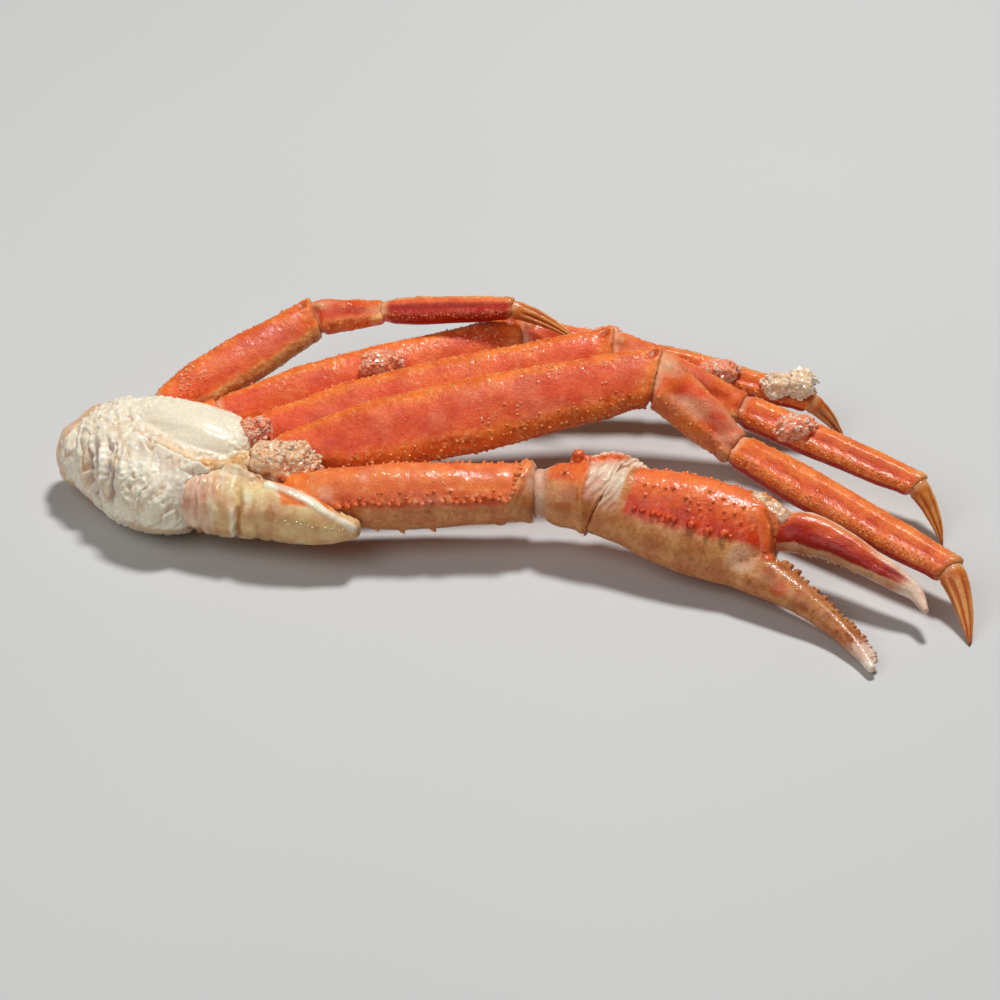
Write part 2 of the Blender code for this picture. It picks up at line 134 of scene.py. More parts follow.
UP = np.array((0.0, 0.0, 1.0))
LEG_FACE = np.array((0.0, -0.6, 0.8))
PALM_FACE = np.array((-0.1, -0.65, 0.75))
WRIST_PLANE = np.array((0.86, -0.36, -0.36))
CAMERA_TILT = 35.5
FRONT_SLOPE = (0.5807, 0.8141)

# Face sizes: of tubes, of the palm's, the body's, the nails' and the ice cores' tubes, and of each merged skin with the
# rounds of smoothing that it gets.
GRID = 0.58
PALM_GRID = 0.8
BODY_GRID = 0.6
NAIL_GRID = 0.35
ICE_GRID = 0.45
MERGES = {"claw_carpus": (0.47, 3), "claw_palm": (0.48, 5), "claw_root": (0.46, 7), "shoulder_meat": (0.46, 6),
          "shoulder_shell": (0.66, 4)}

# Limbs: the gap at a joint, the stub that goes into it, and the share of a length over which a piece turns to its
# plane.
JOINT_GAP = 0.4
NECK_SUNK = 1.3
STUB_SHARE = 0.7
TURN_SHARE = 0.22
ROUNDNESS = 2.2
# How a limb piece is pinched where it leaves a joint, and flared and rolled in where it ends.
NECK_PINCH = 0.15
NECK_LENGTH = 4.5
LIP_FLARE = 0.06
LIP_AT = 2.0
LIP_WIDTH = 1.6
LIP_ROLL = 1.3
LIP_ROLLED_IN = 0.12
LIP_CUPS = (0.84, 0.76)
CUP_SIZE = 0.72
ROOT_CLEARANCE = 0.25

# The levels of a thorn as shares of its height, from its sunk foot, and the run that marks a thorn as off its piece.
THORN_LEVELS = np.array((-0.6, 0.0, 0.25, 0.5, 0.7, 0.86, 0.96))
THORN_FOOT = 1.12
OFF_PIECE = -9.0

# Named values on each skin. Besides real stains and dark colour, stain and deep also paint shade into joints, grooves,
# creases, hollows and lower sides, and raised and pale paint a few highlights.
SHOWN_VALUES = ("cream", "ridge", "raised", "pale", "stain", "deep")
DRESSED = {}


# ---------------------------------------------------------------- numbers


def unit(vector):
    return vector / np.linalg.norm(vector)


def units(vectors):
    return vectors / np.linalg.norm(vectors, axis=1)[:, None]


def rise(value, low, high):
    """0 up to low, 1 from high, and smooth between."""
    part = np.clip((value - low) / (high - low), 0, 1)
    return part * part * (3 - 2 * part)


def band(angle, middle, reach, soft):
    """1 within reach of a middle angle round a piece, and smoothly down to 0 over soft, in degrees."""
    away = np.abs((angle - middle + 180) % 360 - 180)
    return 1 - rise(away, reach, reach + soft)


def near(points, spot, size):
    """1 at a spot, and smoothly down to 0 at its size, which may differ along X, Y and Z."""
    away = np.linalg.norm((points - np.array(spot, float)) / np.array(size, float), axis=-1)
    return 1 - rise(away, 0.35, 1.0)


def line_gaps(points, line):
    """For each point, the vector to it from the nearest place on a line through some places, and its length."""
    line = np.array(line, float)
    best, nearest = np.full(len(points), np.inf), np.zeros_like(points)
    for a, b in zip(line, line[1:]):
        share = np.clip((points - a) @ (b - a) / ((b - a) @ (b - a)), 0, 1)
        away = points - a - share[:, None] * (b - a)
        gap = np.linalg.norm(away, axis=1)
        nearer = gap < best
        best, nearest = np.where(nearer, gap, best), np.where(nearer[:, None], away, nearest)
    return nearest, best


def near_line(points, line, reach):
    """1 on a line through some places, and smoothly down to 0 at its reach."""
    return 1 - rise(line_gaps(points, line)[1], 0.2 * reach, reach)


def beside_line(points, line, towards):
    """The distance to a line through some places, below 0 on the side away from a direction."""
    away, gap = line_gaps(points, line)
    return gap * np.sign(away @ np.array(towards, float))


def inside(points, corners, soft):
    """1 for points over a triangle with these corners, and smoothly down to 0 outside its edges."""
    corners = np.array(corners, float)
    facing = unit(np.cross(corners[1] - corners[0], corners[2] - corners[0]))
    share = 1.0
    for a, b in zip(corners, np.roll(corners, -1, axis=0)):
        share = share * rise((points - a) @ unit(np.cross(facing, b - a)), -soft, soft)
    return share * (1 - rise(np.abs((points - corners[0]) @ facing), 4, 6))


def bell(value, middle, width):
    """1 at a middle value, and down to almost 0 at twice the width from it."""
    return np.exp(-((value - middle) / width) ** 2)


def up_front(points):
    """How high up the sloping front side each point lies, in millimetres."""
    return points[:, 1] * FRONT_SLOPE[0] + points[:, 2] * FRONT_SLOPE[1]


def hashed(cell, seed):
    """A number from 0 to 1 for each whole-numbered cell of space."""
    x, y, z = (cell[..., k].astype(np.int64).astype(np.uint32) for k in range(3))
    mixed = x * np.uint32(0x8DA6B343) ^ y * np.uint32(0xD8163841) ^ z * np.uint32(0xCB1AB31F)
    mixed = (mixed ^ np.uint32((seed + 1) * 0x9E3779B1 & 0xFFFFFFFF)) * np.uint32(0x85EBCA6B)
    mixed = (mixed ^ (mixed >> np.uint32(13))) * np.uint32(0xC2B2AE35)
    return (mixed ^ (mixed >> np.uint32(16))) / 2.0 ** 32


def smooth_noise(points, size, seed):
    """Smooth noise from -1 to 1; size may differ along X, Y and Z."""
    spot = points / np.asarray(size, float)
    base = np.floor(spot)
    part = spot - base
    part = part * part * (3 - 2 * part)
    total = 0
    for corner in itertools.product((0, 1), repeat=3):
        weight = np.prod(np.where(np.array(corner, bool), part, 1 - part), axis=-1)
        total = total + weight * hashed(base + corner, seed)
    return total * 2 - 1


def noise(points, size, seed, layers=3):
    """Smooth noise from -1 to 1 in layers, each of half the size and strength of the one before."""
    size = np.asarray(size, float)
    total = sum(smooth_noise(points, size / 2 ** k, seed + k) / 2 ** k for k in range(layers))
    return total / (2 - 2.0 ** (1 - layers))


def blotches(points, size, seed, low, high):
    """Uneven patches: 0 where the noise is under low, and 1 where it is over high."""
    return rise(noise(points, size, seed), low, high)


def granules(points, size, seed, share=0.7):
    """Rounded grains from 0 to 1 about one spacing apart; share of them are there."""
    spot = points / size
    base = np.floor(spot)
    lift = np.zeros(len(points))
    for step in itertools.product((-1, 0, 1), repeat=3):
        cell = base + step
        centre = cell + 0.5 + 0.75 * (np.stack([hashed(cell, seed + k) for k in range(3)], axis=-1) - 0.5)
        own = hashed(cell, seed + 3)
        gap = np.linalg.norm(spot - centre, axis=-1) / (0.42 + 0.24 * own)
        lift = np.maximum(lift, np.where(own < share, 1 - gap * gap, 0))
    return lift


def sheets(value, count):
    """Overlapping sheets from smooth noise: each rises slowly to an edge and drops at it."""
    level = (value + 1) * count / 2
    part = level - np.floor(level)
    return part - rise(part, 0.82, 1.0)


# ---------------------------------------------------------------- skins


class Skin:
    """A closed surface in the making: points in millimetres, faces of three or four corners, and named values.

    A triangle's fourth corner is -1. Each value is also an attribute: skin.run is skin.values["run"].
    """

    def __init__(self, points, faces, **values):
        self.points = points
        self.faces = faces
        self.values = values

    def __getattr__(self, name):
        if name.startswith("_") or name not in self.values:
            raise AttributeError(name)
        return self.values[name]

    def tint(self, **values):
        """Sets named values, kept from 0 to 1."""
        for name, value in values.items():
            self.values[name] = np.clip(value, 0, 1)

    def corners(self):
        """The faces with a triangle's fourth corner the same as its first."""
        return np.where(self.faces < 0, self.faces[:, :1], self.faces)

    def normals(self):
        corners = self.corners()
        a, b, c, d = (self.points[corners[:, k]] for k in range(4))
        facing = np.cross(c - a, d - b)
        total = np.zeros_like(self.points)
        for k in range(4):
            np.add.at(total, corners[:, k], facing)
        return total / np.maximum(np.linalg.norm(total, axis=1), 1e-12)[:, None]

    def push(self, height):
        """Moves each point out along its normal."""
        self.points = self.points + self.normals() * np.asarray(height)[:, None]
        return self

    def smooth(self, rounds):
        """Moves each point halfway to the middle of its neighbours, a number of times."""
        corners = self.corners()
        ends = np.concatenate([corners[:, [k, (k + 1) % 4]] for k in range(4)])
        for _ in range(rounds):
            total = np.zeros_like(self.points)
            count = np.zeros(len(self.points))
            for first, second in ((0, 1), (1, 0)):
                np.add.at(total, ends[:, first], self.points[ends[:, second]])
                np.add.at(count, ends[:, first], 1)
            self.points = (self.points + total / count[:, None]) / 2
        return self

    def on_table(self, lowest):
        """Lifts what lies lower than a height above the table."""
        self.points[:, 2] = np.maximum(self.points[:, 2], lowest)

    def join(self, *others):
        """This skin with others as further islands; a value that one of them lacks is 0 there."""
        skins = [self, *others]
        names = set().union(*(skin.values for skin in skins))
        offsets = np.cumsum([0] + [len(skin.points) for skin in skins])
        faces = [np.where(skin.faces < 0, -1, skin.faces + offset) for skin, offset in zip(skins, offsets)]
        values = {name: np.concatenate([skin.values.get(name, np.zeros(len(skin.points))) for skin in skins])
                  for name in names}
        return Skin(np.concatenate([skin.points for skin in skins]), np.concatenate(faces), **values)


def ring_faces(rings, sides):
    """Faces of a closed stack of rings; the point before the first ring and the one after the last come at the end."""
    ring = np.arange(rings * sides).reshape(rings, sides)
    after = np.roll(ring, -1, axis=1)
    bands = np.stack([ring[:-1], after[:-1], after[1:], ring[1:]], axis=-1).reshape(-1, 4)
    none, start = np.full(sides, -1), np.full(sides, rings * sides)
    first = np.stack([start, after[0], ring[0], none], axis=-1)
    last = np.stack([start + 1, ring[-1], after[-1], none], axis=-1)
    return np.concatenate([bands, first, last])


def islands(points, faces):
    """One skin from many copies of the same faces on their own points, given as copy by point by X, Y and Z."""
    count, size = points.shape[:2]
    shifted = faces[None] + size * np.arange(count)[:, None, None]
    return Skin(points.reshape(-1, 3), np.where(faces[None] < 0, -1, shifted).reshape(-1, 4))


def skin_of(mesh):
    """A mesh in metres as a skin."""
    points = np.empty(len(mesh.vertices) * 3)
    mesh.vertices.foreach_get("co", points)
    totals = np.empty(len(mesh.polygons), np.int32)
    mesh.polygons.foreach_get("loop_total", totals)
    loops = np.empty(len(mesh.loops), np.int32)
    mesh.loops.foreach_get("vertex_index", loops)
    faces = np.full((len(totals), 4), -1)
    faces[np.arange(4) < totals[:, None]] = loops
    return Skin(points.reshape(-1, 3) / MM + TABLE_MIDDLE, faces)


def mesh_of(name, skin, smooth=True):
    mesh = bpy.data.meshes.new(name)
    used = skin.faces >= 0
    mesh.vertices.add(len(skin.points))
    mesh.vertices.foreach_set("co", ((skin.points - TABLE_MIDDLE) * MM).ravel())
    mesh.loops.add(int(used.sum()))
    mesh.loops.foreach_set("vertex_index", skin.faces[used].astype(np.int32))
    mesh.polygons.add(len(skin.faces))
    totals = used.sum(axis=1)
    mesh.polygons.foreach_set("loop_start", (np.cumsum(totals) - totals).astype(np.int32))
    mesh.polygons.foreach_set("use_smooth", np.full(len(skin.faces), smooth))
    mesh.update(calc_edges=True)
    for value in SHOWN_VALUES:
        if value in skin.values:
            layer = mesh.attributes.new(value, "FLOAT", "POINT")
            layer.data.foreach_set("value", np.clip(skin.values[value], 0, 1).astype(np.float32))
    return mesh


def place(name, skin, paint, nodes, smooth=True):
    """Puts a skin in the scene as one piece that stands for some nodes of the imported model."""
    mesh = mesh_of(name, skin, smooth)
    mesh.materials.append(paint)
    piece = bpy.data.objects.new(name, mesh)
    bpy.context.collection.objects.link(piece)
    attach(piece, "root")
    if nodes:
        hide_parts(*nodes)


def merged(name, skins):
    """Overlapping skins made into one smoothed skin of evenly small faces."""
    size, rounds = MERGES[name]
    joined = skins[0].join(*skins[1:])
    joined.values = {}
    rough = bpy.data.objects.new(f"{name}_rough", mesh_of(f"{name}_rough", joined))
    bpy.context.collection.objects.link(rough)
    modifier = rough.modifiers.new("remesh", "REMESH")
    modifier.mode = "VOXEL"
    modifier.voxel_size = size * MM
    bpy.context.view_layer.update()
    skin = skin_of(rough.evaluated_get(bpy.context.evaluated_depsgraph_get()).to_mesh())
    bpy.data.objects.remove(rough, do_unlink=True)
    return skin.smooth(rounds)


# ---------------------------------------------------------------- rows and tubes


def across(along, face):
    """Two unit vectors across a direction: the wide one, and the one that the flat side faces."""
    normal = unit(face - along * (face @ along))
    return unit(np.cross(normal, along)), normal


def sizes_at(stations, share):
    """Half width and half depth at a share of a piece's length, eased between its stations."""
    for (s0, w0, d0), (s1, w1, d1) in zip(stations, stations[1:]):
        if share <= s1:
            ease = rise(share, s0, s1)
            return w0 + (w1 - w0) * ease, d0 + (d1 - d0) * ease
    return stations[-1][1:]


def row(centre, axes, width, depth, run, rest):
    """One ring of a tube; run and rest are the lengths of limb before and after it."""
    return {"centre": centre, "wide": axes[0], "normal": axes[1], "width": width, "depth": depth, "run": run,
            "rest": rest}


def dome_rows(centre, pole, axes, width, depth, length, run, rest, steps=8):
    """Rows of a half ball on a plane at centre, from the pole; the plane's own row is left out."""
    rows = []
    for step in range(steps):
        lift = math.pi / 2 * step / steps
        size = math.sin(lift)
        rows.append(row(centre + pole * (length * math.cos(lift)), axes, width * size, depth * size, run, rest))
    return rows


def limb_rows(ends, planes, face, stations, pinch=NECK_PINCH, neck=NECK_LENGTH):
    """A limb piece from one joint plane to the next: sunk stub, pinched neck, length, rolled lip and cup."""
    (start, end), (first, last) = ends, planes
    length = np.linalg.norm(end - start)
    along = (end - start) / length
    gap = JOINT_GAP / 2
    width, depth = sizes_at(stations, 0)
    sunk, axes = start - first * NECK_SUNK, across(first, face)
    root = (width * (1 - pinch) * 0.95, depth * (1 - pinch) * 0.95)
    rows = dome_rows(sunk, -first, axes, *root, width * 0.4, -2, length + 2)
    rows.append(row(sunk, axes, *root, -1, length + 1))
    count = int(length / GRID)
    for k in range(count + 1):
        share = k / count
        run, rest = share * length, length - share * length
        turn = min(share, 1 - share) / TURN_SHARE
        plane = unit((first if share < 0.5 else last) * (1 - rise(turn, 0, 1)) + along * rise(turn, 0, 1))
        centre = start + (end - start) * share + (last * (-gap) if k == count else 0)
        width, depth = sizes_at(stations, share)
        size = 1 - pinch * (1 - rise(run, 0, neck)) + LIP_FLARE * math.exp(-((rest - LIP_AT) / LIP_WIDTH) ** 2)
        rolled = max(0.0, 1 - rest / LIP_ROLL)
        size -= LIP_ROLLED_IN * (1 - math.sqrt(1 - rolled * rolled))
        rows.append(row(centre, across(plane, face), width / (plane @ along) * size, depth * size, run, rest))
    lip, axes = end - last * gap, across(last, face)
    rows += [row(lip, axes, width * a, depth * a, length + 1, -1) for a in LIP_CUPS]
    rows += dome_rows(lip, -last, axes, width * CUP_SIZE, depth * CUP_SIZE, width * 0.3, length + 2, -2)[::-1]
    return rows


def spline(stations, turn):
    """A point on the smooth curve through all stations; turn counts them from 0."""
    k = min(int(turn), len(stations) - 2)
    t = turn - k
    p1, p2 = stations[k], stations[k + 1]
    p0 = stations[k - 1] if k else p1 * 2 - p2
    p3 = stations[k + 2] if k + 2 < len(stations) else p2 * 2 - p1
    return ((p1 * 2) + (p2 - p0) * t + (p0 * 2 - p1 * 5 + p2 * 4 - p3) * t * t
            + (p1 * 3 - p0 - p2 * 3 + p3) * t ** 3) / 2


def sweep_rows(points, sizes, face, ends=(0.7, 0.7), square_to=None, step=GRID):
    """Rows along the smooth curve through some places, with a rounded end at both sides."""
    stations = np.column_stack([np.array(points, float), np.array(sizes, float)])
    last = len(stations) - 1
    length = np.linalg.norm(np.diff(stations[:, :3], axis=0), axis=1).sum()
    count = max(int(length / step), 4)
    rows = []
    for k in range(count + 1):
        turn = last * k / count
        here = spline(stations, turn)
        ahead, behind = (spline(stations, min(max(turn + s, 0), last))[:3] for s in (0.05, -0.05))
        along = unit(ahead - behind) if square_to is None else square_to
        axes = across(along, face)
        run, rest = length * k / count, length * (1 - k / count)
        width, depth = here[3:]
        if k == 0:
            rows += dome_rows(here[:3], -along, axes, width, depth, depth * ends[0], -1, length + 1, 12)
        rows.append(row(here[:3], axes, width, depth, run, rest))
        if k == count:
            rows += dome_rows(here[:3], along, axes, width, depth, depth * ends[1], length + 1, -1, 12)[::-1]
    return rows


def tube(rows, step=GRID):
    """The skin through rows whose first and last are single points."""
    stack = {key: np.array([r[key] for r in rows]) for key in rows[0]}
    widest = max(math.hypot(r["width"], r["depth"]) for r in rows)
    columns = max(int(math.tau * widest / math.sqrt(2) / step), 16)
    turn = np.linspace(0, math.tau, columns, endpoint=False)
    x = np.sign(np.cos(turn)) * np.abs(np.cos(turn)) ** (2 / ROUNDNESS)
    y = np.sign(np.sin(turn)) * np.abs(np.sin(turn)) ** (2 / ROUNDNESS)
    rings = (stack["centre"][:, None] + stack["wide"][:, None] * (stack["width"][:, None] * x)[..., None]
             + stack["normal"][:, None] * (stack["depth"][:, None] * y)[..., None])
    points = np.concatenate([rings[1:-1].reshape(-1, 3), rings[:1, 0], rings[-1:, 0]])
    inner = len(rows) - 2

    def spread(key):
        return np.concatenate([np.repeat(stack[key][1:-1], columns), stack[key][[0, -1]]])

    return Skin(points, ring_faces(inner, columns), run=spread("run"), rest=spread("rest"),
                angle=np.concatenate([np.tile(np.degrees(turn), inner), [0, 0]]))


def lump(places, size, face, ends=(0.7, 0.7), step=GRID):
    """A short rounded tube of one size through a few places."""
    return tube(sweep_rows(places, [size] * len(places), face, ends), step=step)


def reach_in(points, rows):
    """How far out of a tube's middle each point is, as a share of the tube's size there, and its foot and offset."""
    rows = [r for r in rows if r["width"] > 0]
    centres = np.array([r["centre"] for r in rows])
    nearest = np.empty(len(points), int)
    for part in range(0, len(points), 4000):
        gaps = np.linalg.norm(points[part:part + 4000, None] - centres[None], axis=2)
        nearest[part:part + 4000] = gaps.argmin(axis=1)
    centre, wide, normal = (np.array([r[key] for r in rows])[nearest] for key in ("centre", "wide", "normal"))
    width, depth = (np.array([r[key] for r in rows])[nearest] for key in ("width", "depth"))
    away = points - centre
    x, y = (away * wide).sum(axis=1), (away * normal).sum(axis=1)
    flat = wide * x[:, None] + normal * y[:, None]
    reach = (np.abs(x / width) ** ROUNDNESS + np.abs(y / depth) ** ROUNDNESS) ** (1 / ROUNDNESS)
    return reach, centre, flat, away - flat


def kept_clear(points, rows, gap):
    """Moves the points that lie inside a tube out to its surface and a gap further."""
    grown = [dict(r, width=r["width"] + gap, depth=r["depth"] + gap) for r in rows if r["width"] > 0]
    reach, centre, flat, off = reach_in(points, grown)
    inside = (reach < 1) & (np.linalg.norm(off, axis=1) < 1.0)
    moved = centre + flat / np.maximum(reach, 0.05)[:, None] + off
    return np.where(inside[:, None], moved, points), inside


def local_to(points, start, end, face, width, depth):
    """Share along a line, and the angle round it as on a tube of that width and depth, for any points."""
    along = unit(end - start)
    wide, normal = across(along, face)
    away = points - start
    x, y = away @ wide / width, away @ normal / depth
    angle = np.degrees(np.arctan2(np.sign(y) * np.abs(y) ** 1.1, np.sign(x) * np.abs(x) ** 1.1)) % 360
    return away @ along / np.linalg.norm(end - start), angle


def along_curve(points, places):
    """The turn along a curve nearest to each point, from 0 to the number of its stretches."""
    places = np.array(places, float)
    turns = np.linspace(0, len(places) - 1, 120)
    curve = np.array([spline(places, t) for t in turns])
    return turns[np.linalg.norm(points[:, None] - curve[None], axis=2).argmin(axis=1)]


# ---------------------------------------------------------------- thorns, tubercles and teeth


def thorns(skin, spots, lean, blunt=1.3, sides=9, **values):
    """Small islands on a skin. Each spot is (point index, height, radius); lean tips them along a direction.

    blunt is 1 for a cone and 2 for a round knob, and values are given to their tips.
    """
    index, height, radius = (np.array(part) for part in zip(*spots))
    height, radius = height[:, None, None, None], radius[:, None, None, None]
    up = units(skin.normals()[index] + np.asarray(lean))
    side = units(np.cross(up, np.where(np.abs(up[:, :1]) < 0.8, (1.0, 0, 0), (0, 1.0, 0))))
    other = np.cross(up, side)
    reach = np.where(THORN_LEVELS < 0, THORN_FOOT, (1 - np.maximum(THORN_LEVELS, 0) ** blunt) ** (1 / blunt))
    turn = np.linspace(0, math.tau, sides, endpoint=False)
    ring = (side[:, None, None] * np.cos(turn)[None, None, :, None]
            + other[:, None, None] * np.sin(turn)[None, None, :, None])
    foot, up = skin.points[index][:, None, None], up[:, None, None]
    body = foot + ring * radius * reach[None, :, None, None] + up * height * THORN_LEVELS[None, :, None, None]
    ends = foot[:, 0] + (up * height)[:, 0] * np.array((THORN_LEVELS[0], 1.0))[:, None]
    points = np.concatenate([body.reshape(len(spots), -1, 3), ends], axis=1)
    faces = ring_faces(len(THORN_LEVELS), sides)
    caps = faces[:, 3] < 0  # a cap's first corner weighs double in the normals, so it's moved off the tip
    faces[caps, :3] = np.roll(faces[caps, :3], -1, axis=1)
    grown = islands(points, faces)
    share = np.tile(np.concatenate([np.repeat(np.clip(THORN_LEVELS, 0, 1), sides), [0, 1]]), len(spots))
    grown.values["run"] = np.full(len(grown.points), OFF_PIECE)
    for name in SHOWN_VALUES:
        own = np.repeat(skin.values[name][index], points.shape[1]) if name in skin.values else np.zeros(len(share))
        grown.values[name] = own + (values[name] - own) * share if name in values else own
    return skin.join(grown)


def swell(skin, spots, lift, reach):
    """Lifts the skin in smooth mounds under its thorns; lift and reach are shares of their height and radius."""
    normals = skin.normals()
    for index, height, radius in spots:
        away = np.linalg.norm(skin.points - skin.points[index], axis=1) / (radius * reach)
        close = away < 1
        amount = (1 - rise(away[close], 0, 1)) * height * lift
        skin.points[close] += normals[close] * amount[:, None]
    return skin


def patch(skin, run, angle, length, spread):
    """1 at a place on a piece, and smoothly down to 0 at its length along and its spread round, in degrees."""
    turn = np.abs((skin.angle - angle + 180) % 360 - 180) / spread
    return 1 - rise(np.hypot((skin.run - run) / length, turn), 0.25, 1.0)


def spots_at(skin, places, sizes, seed, spread=0.12):
    """Thorn spots at (run, angle) places, with sizes (height, radius) that vary by spread."""
    rng = np.random.default_rng(seed)
    length = skin.run.max()
    spots = []
    for run, angle in places:
        off = np.abs((skin.angle - angle + 180) % 360 - 180) * 0.15
        index = np.argmin(np.abs(skin.run - run) + off + 1e3 * ((skin.run < 0) | (skin.run > length)))
        change = 1 + spread * rng.standard_normal()
        spots.append((index, sizes[0] * change, sizes[1] * (1 + 0.5 * (change - 1))))
    return spots


def thorn_line(first, last, angles, spacing, seed, jitter=0.35, sway=3.0):
    """(run, angle) places in a line from one run to another, as uneven as the jitter and sway say."""
    rng = np.random.default_rng(seed)
    count = max(int((last - first) / spacing), 1)
    places = []
    for k in range(count + 1):
        share = k / count
        run = first + (last - first) * share + spacing * jitter * rng.uniform(-1, 1)
        places.append((run, angles[0] + (angles[1] - angles[0]) * share + sway * rng.uniform(-1, 1)))
    return places


def thorny(skin, lines, lean, seed, spread, lift=0, reach=1):
    """Adds lines of thorns, each (places, (height, radius), blunt, values of the tips), on mounds if there's a lift."""
    for k, (places, sizes, blunt, values) in enumerate(lines):
        spots = spots_at(skin, places, sizes, seed + k, spread)
        if lift:
            swell(skin, spots, lift, reach)
        skin = thorns(skin, spots, lean, blunt, **values)
    return skin


def wavering(skin, seed, *waves):
    """The angle round a skin, made uneven by noise; each wave is (degrees, size)."""
    angle = skin.angle
    for k, (reach, size) in enumerate(waves):
        angle = angle + reach * noise(skin.points, size, seed + k)
    return angle


# ---------------------------------------------------------------- materials


def linked(tree, kind, inputs=None, **settings):
    """A new node with its settings, and inputs given as values or as other nodes' sockets."""
    made = tree.nodes.new(kind)
    for name, value in settings.items():
        setattr(made, name, value)
    for socket, value in (inputs or {}).items():
        if isinstance(value, bpy.types.NodeSocket):
            tree.links.new(value, made.inputs[socket])
        else:
            made.inputs[socket].default_value = value
    return made


def mixed(tree, factor, first, second, blend="MIX"):
    first, second = ((*c, 1.0) if isinstance(c, tuple) and len(c) == 3 else c for c in (first, second))
    return linked(tree, "ShaderNodeMix", {0: factor, 6: first, 7: second}, data_type="RGBA",
                  blend_type=blend).outputs[2]


def value_of(tree, name):
    return linked(tree, "ShaderNodeAttribute", attribute_name=name).outputs["Fac"]


def tinted(tree, colour, **tones):
    """A colour with another one laid over it for each named value of the skin, in turn."""
    for name, tone in tones.items():
        colour = mixed(tree, value_of(tree, name), colour, tone)
    return colour


def noise_of(tree, size, detail=2.0, stretch=(1, 1, 1)):
    """Noise from 0 to 1 with features of a size in millimetres."""
    places = linked(tree, "ShaderNodeTexCoord").outputs["Object"]
    scaled = linked(tree, "ShaderNodeMapping", {"Vector": places, "Scale": tuple(1 / s for s in stretch)})
    return linked(tree, "ShaderNodeTexNoise", {"Vector": scaled.outputs[0], "Scale": 1 / (size * MM),
                                               "Detail": detail}).outputs["Fac"]


def between(tree, value, low, high, to_low=0.0, to_high=1.0):
    return linked(tree, "ShaderNodeMapRange", {"Value": value, "From Min": low, "From Max": high, "To Min": to_low,
                                               "To Max": to_high}).outputs["Result"]


def new_material(name, **sockets):
    made = bpy.data.materials.new(name)
    made.use_nodes = True
    surface = made.node_tree.nodes["Principled BSDF"]
    for socket, value in sockets.items():
        surface.inputs[socket.replace("_", " ")].default_value = value
    return made, made.node_tree, surface


def bump(tree, surface, socket, size, detail, strength, depth):
    """Relief finer than the skin, with features of a size and depth in millimetres, for Normal or Coat Normal."""
    relief = linked(tree, "ShaderNodeBump", {"Height": noise_of(tree, size, detail), "Strength": strength,
                                             "Distance": depth * MM})
    tree.links.new(relief.outputs[0], surface.inputs[socket])


def shell_paint(name, face, ridge, cream, tip, membrane, stain, deep, dull=0.42, wet=0.45, speckle=0.7):
    """Cooked crab shell: its colours by the skin's values, mottled, specked and wet."""
    made, tree, surface = new_material(name, Subsurface_Weight=0.10, Subsurface_Scale=0.002,
                                       Subsurface_Radius=(1.0, 0.3, 0.12), Specular_IOR_Level=0.2,
                                       Coat_Weight=wet, Coat_Roughness=0.08)
    patches, mottle, speck = noise_of(tree, 7.0, 3.0), noise_of(tree, 1.6, 4.0), noise_of(tree, 0.6, 1.0)
    dark_cream = tuple(c * k for c, k in zip(cream, (0.84, 0.70, 0.60)))
    cream = mixed(tree, between(tree, mottle, 0.40, 0.62), cream, dark_cream)
    colour = tinted(tree, face, ridge=ridge, deep=deep, cream=cream, raised=tip, pale=membrane, stain=stain)
    shade = mixed(tree, between(tree, patches, 0.35, 0.65), (0.86, 0.68, 0.64), (1.06, 1.18, 1.20))
    colour = mixed(tree, 1.0, colour, shade, "MULTIPLY")
    shade = mixed(tree, between(tree, speck, 0.34, 0.60), (0.86, 0.66, 0.60), (1.05, 1.14, 1.18))
    tree.links.new(mixed(tree, speckle, colour, shade, "MULTIPLY"), surface.inputs["Base Color"])
    tree.links.new(between(tree, mottle, 0.35, 0.65, dull - 0.1, dull + 0.1), surface.inputs["Roughness"])
    bump(tree, surface, "Normal", 0.6, 2.0, strength=0.5, depth=0.4)
    bump(tree, surface, "Coat Normal", 0.7, 3.0, strength=0.5, depth=0.2)
    return made


def meat_paint():
    """Cooked crab meat: moist, fibrous and slightly see-through, with tan and pink where it is thin, and as painted
    shade and glow.
    """
    made, tree, surface = new_material("meat", Subsurface_Weight=0.35, Subsurface_Scale=0.0025,
                                       Subsurface_Radius=(1.0, 0.66, 0.40), Specular_IOR_Level=0.3,
                                       Coat_Weight=0.22, Coat_Roughness=0.16)
    strands, flecks = noise_of(tree, 2.6, 4.0, stretch=(0.5, 1.6, 1.6)), noise_of(tree, 0.9, 2.0)
    colour = mixed(tree, between(tree, strands, 0.35, 0.62), (0.88, 0.75, 0.54), (0.97, 0.89, 0.73))
    colour = tinted(tree, colour, ridge=(0.95, 0.84, 0.66), cream=(0.84, 0.48, 0.17), pale=(0.56, 0.42, 0.40),
                    stain=(0.45, 0.19, 0.05), raised=(0.97, 0.92, 0.81))
    shade = mixed(tree, between(tree, flecks, 0.35, 0.62), (0.94, 0.91, 0.86), (1.03, 1.04, 1.05))
    tree.links.new(mixed(tree, 1.0, colour, shade, "MULTIPLY"), surface.inputs["Base Color"])
    tree.links.new(between(tree, strands, 0.3, 0.7, 0.5, 0.34), surface.inputs["Roughness"])
    bump(tree, surface, "Normal", 0.9, 3.0, strength=0.25, depth=0.3)
    return made


def ice_paint(name, light, shadow, gloss):
    """Melting crushed ice: soft inner light, partly frosted white, with painted lit and shaded tones and a painted tint
    of what it lies on.
    """
    made, tree, surface = new_material(name, IOR=1.31, Coat_Weight=1.0, Coat_Roughness=0.03, Subsurface_Weight=0.6,
                                       Subsurface_Scale=0.0003, Subsurface_Radius=(1.0, 0.7, 0.5))
    frost = noise_of(tree, 1.0, 2.0)
    colour = mixed(tree, between(tree, frost, 0.42, 0.58), shadow, light)
    tree.links.new(colour, surface.inputs["Base Color"])
    tree.links.new(between(tree, frost, 0.4, 0.7, gloss * 0.4, gloss * 2.0), surface.inputs["Roughness"])
    bump(tree, surface, "Normal", 0.8, 2.0, strength=0.3, depth=0.2)
    return made


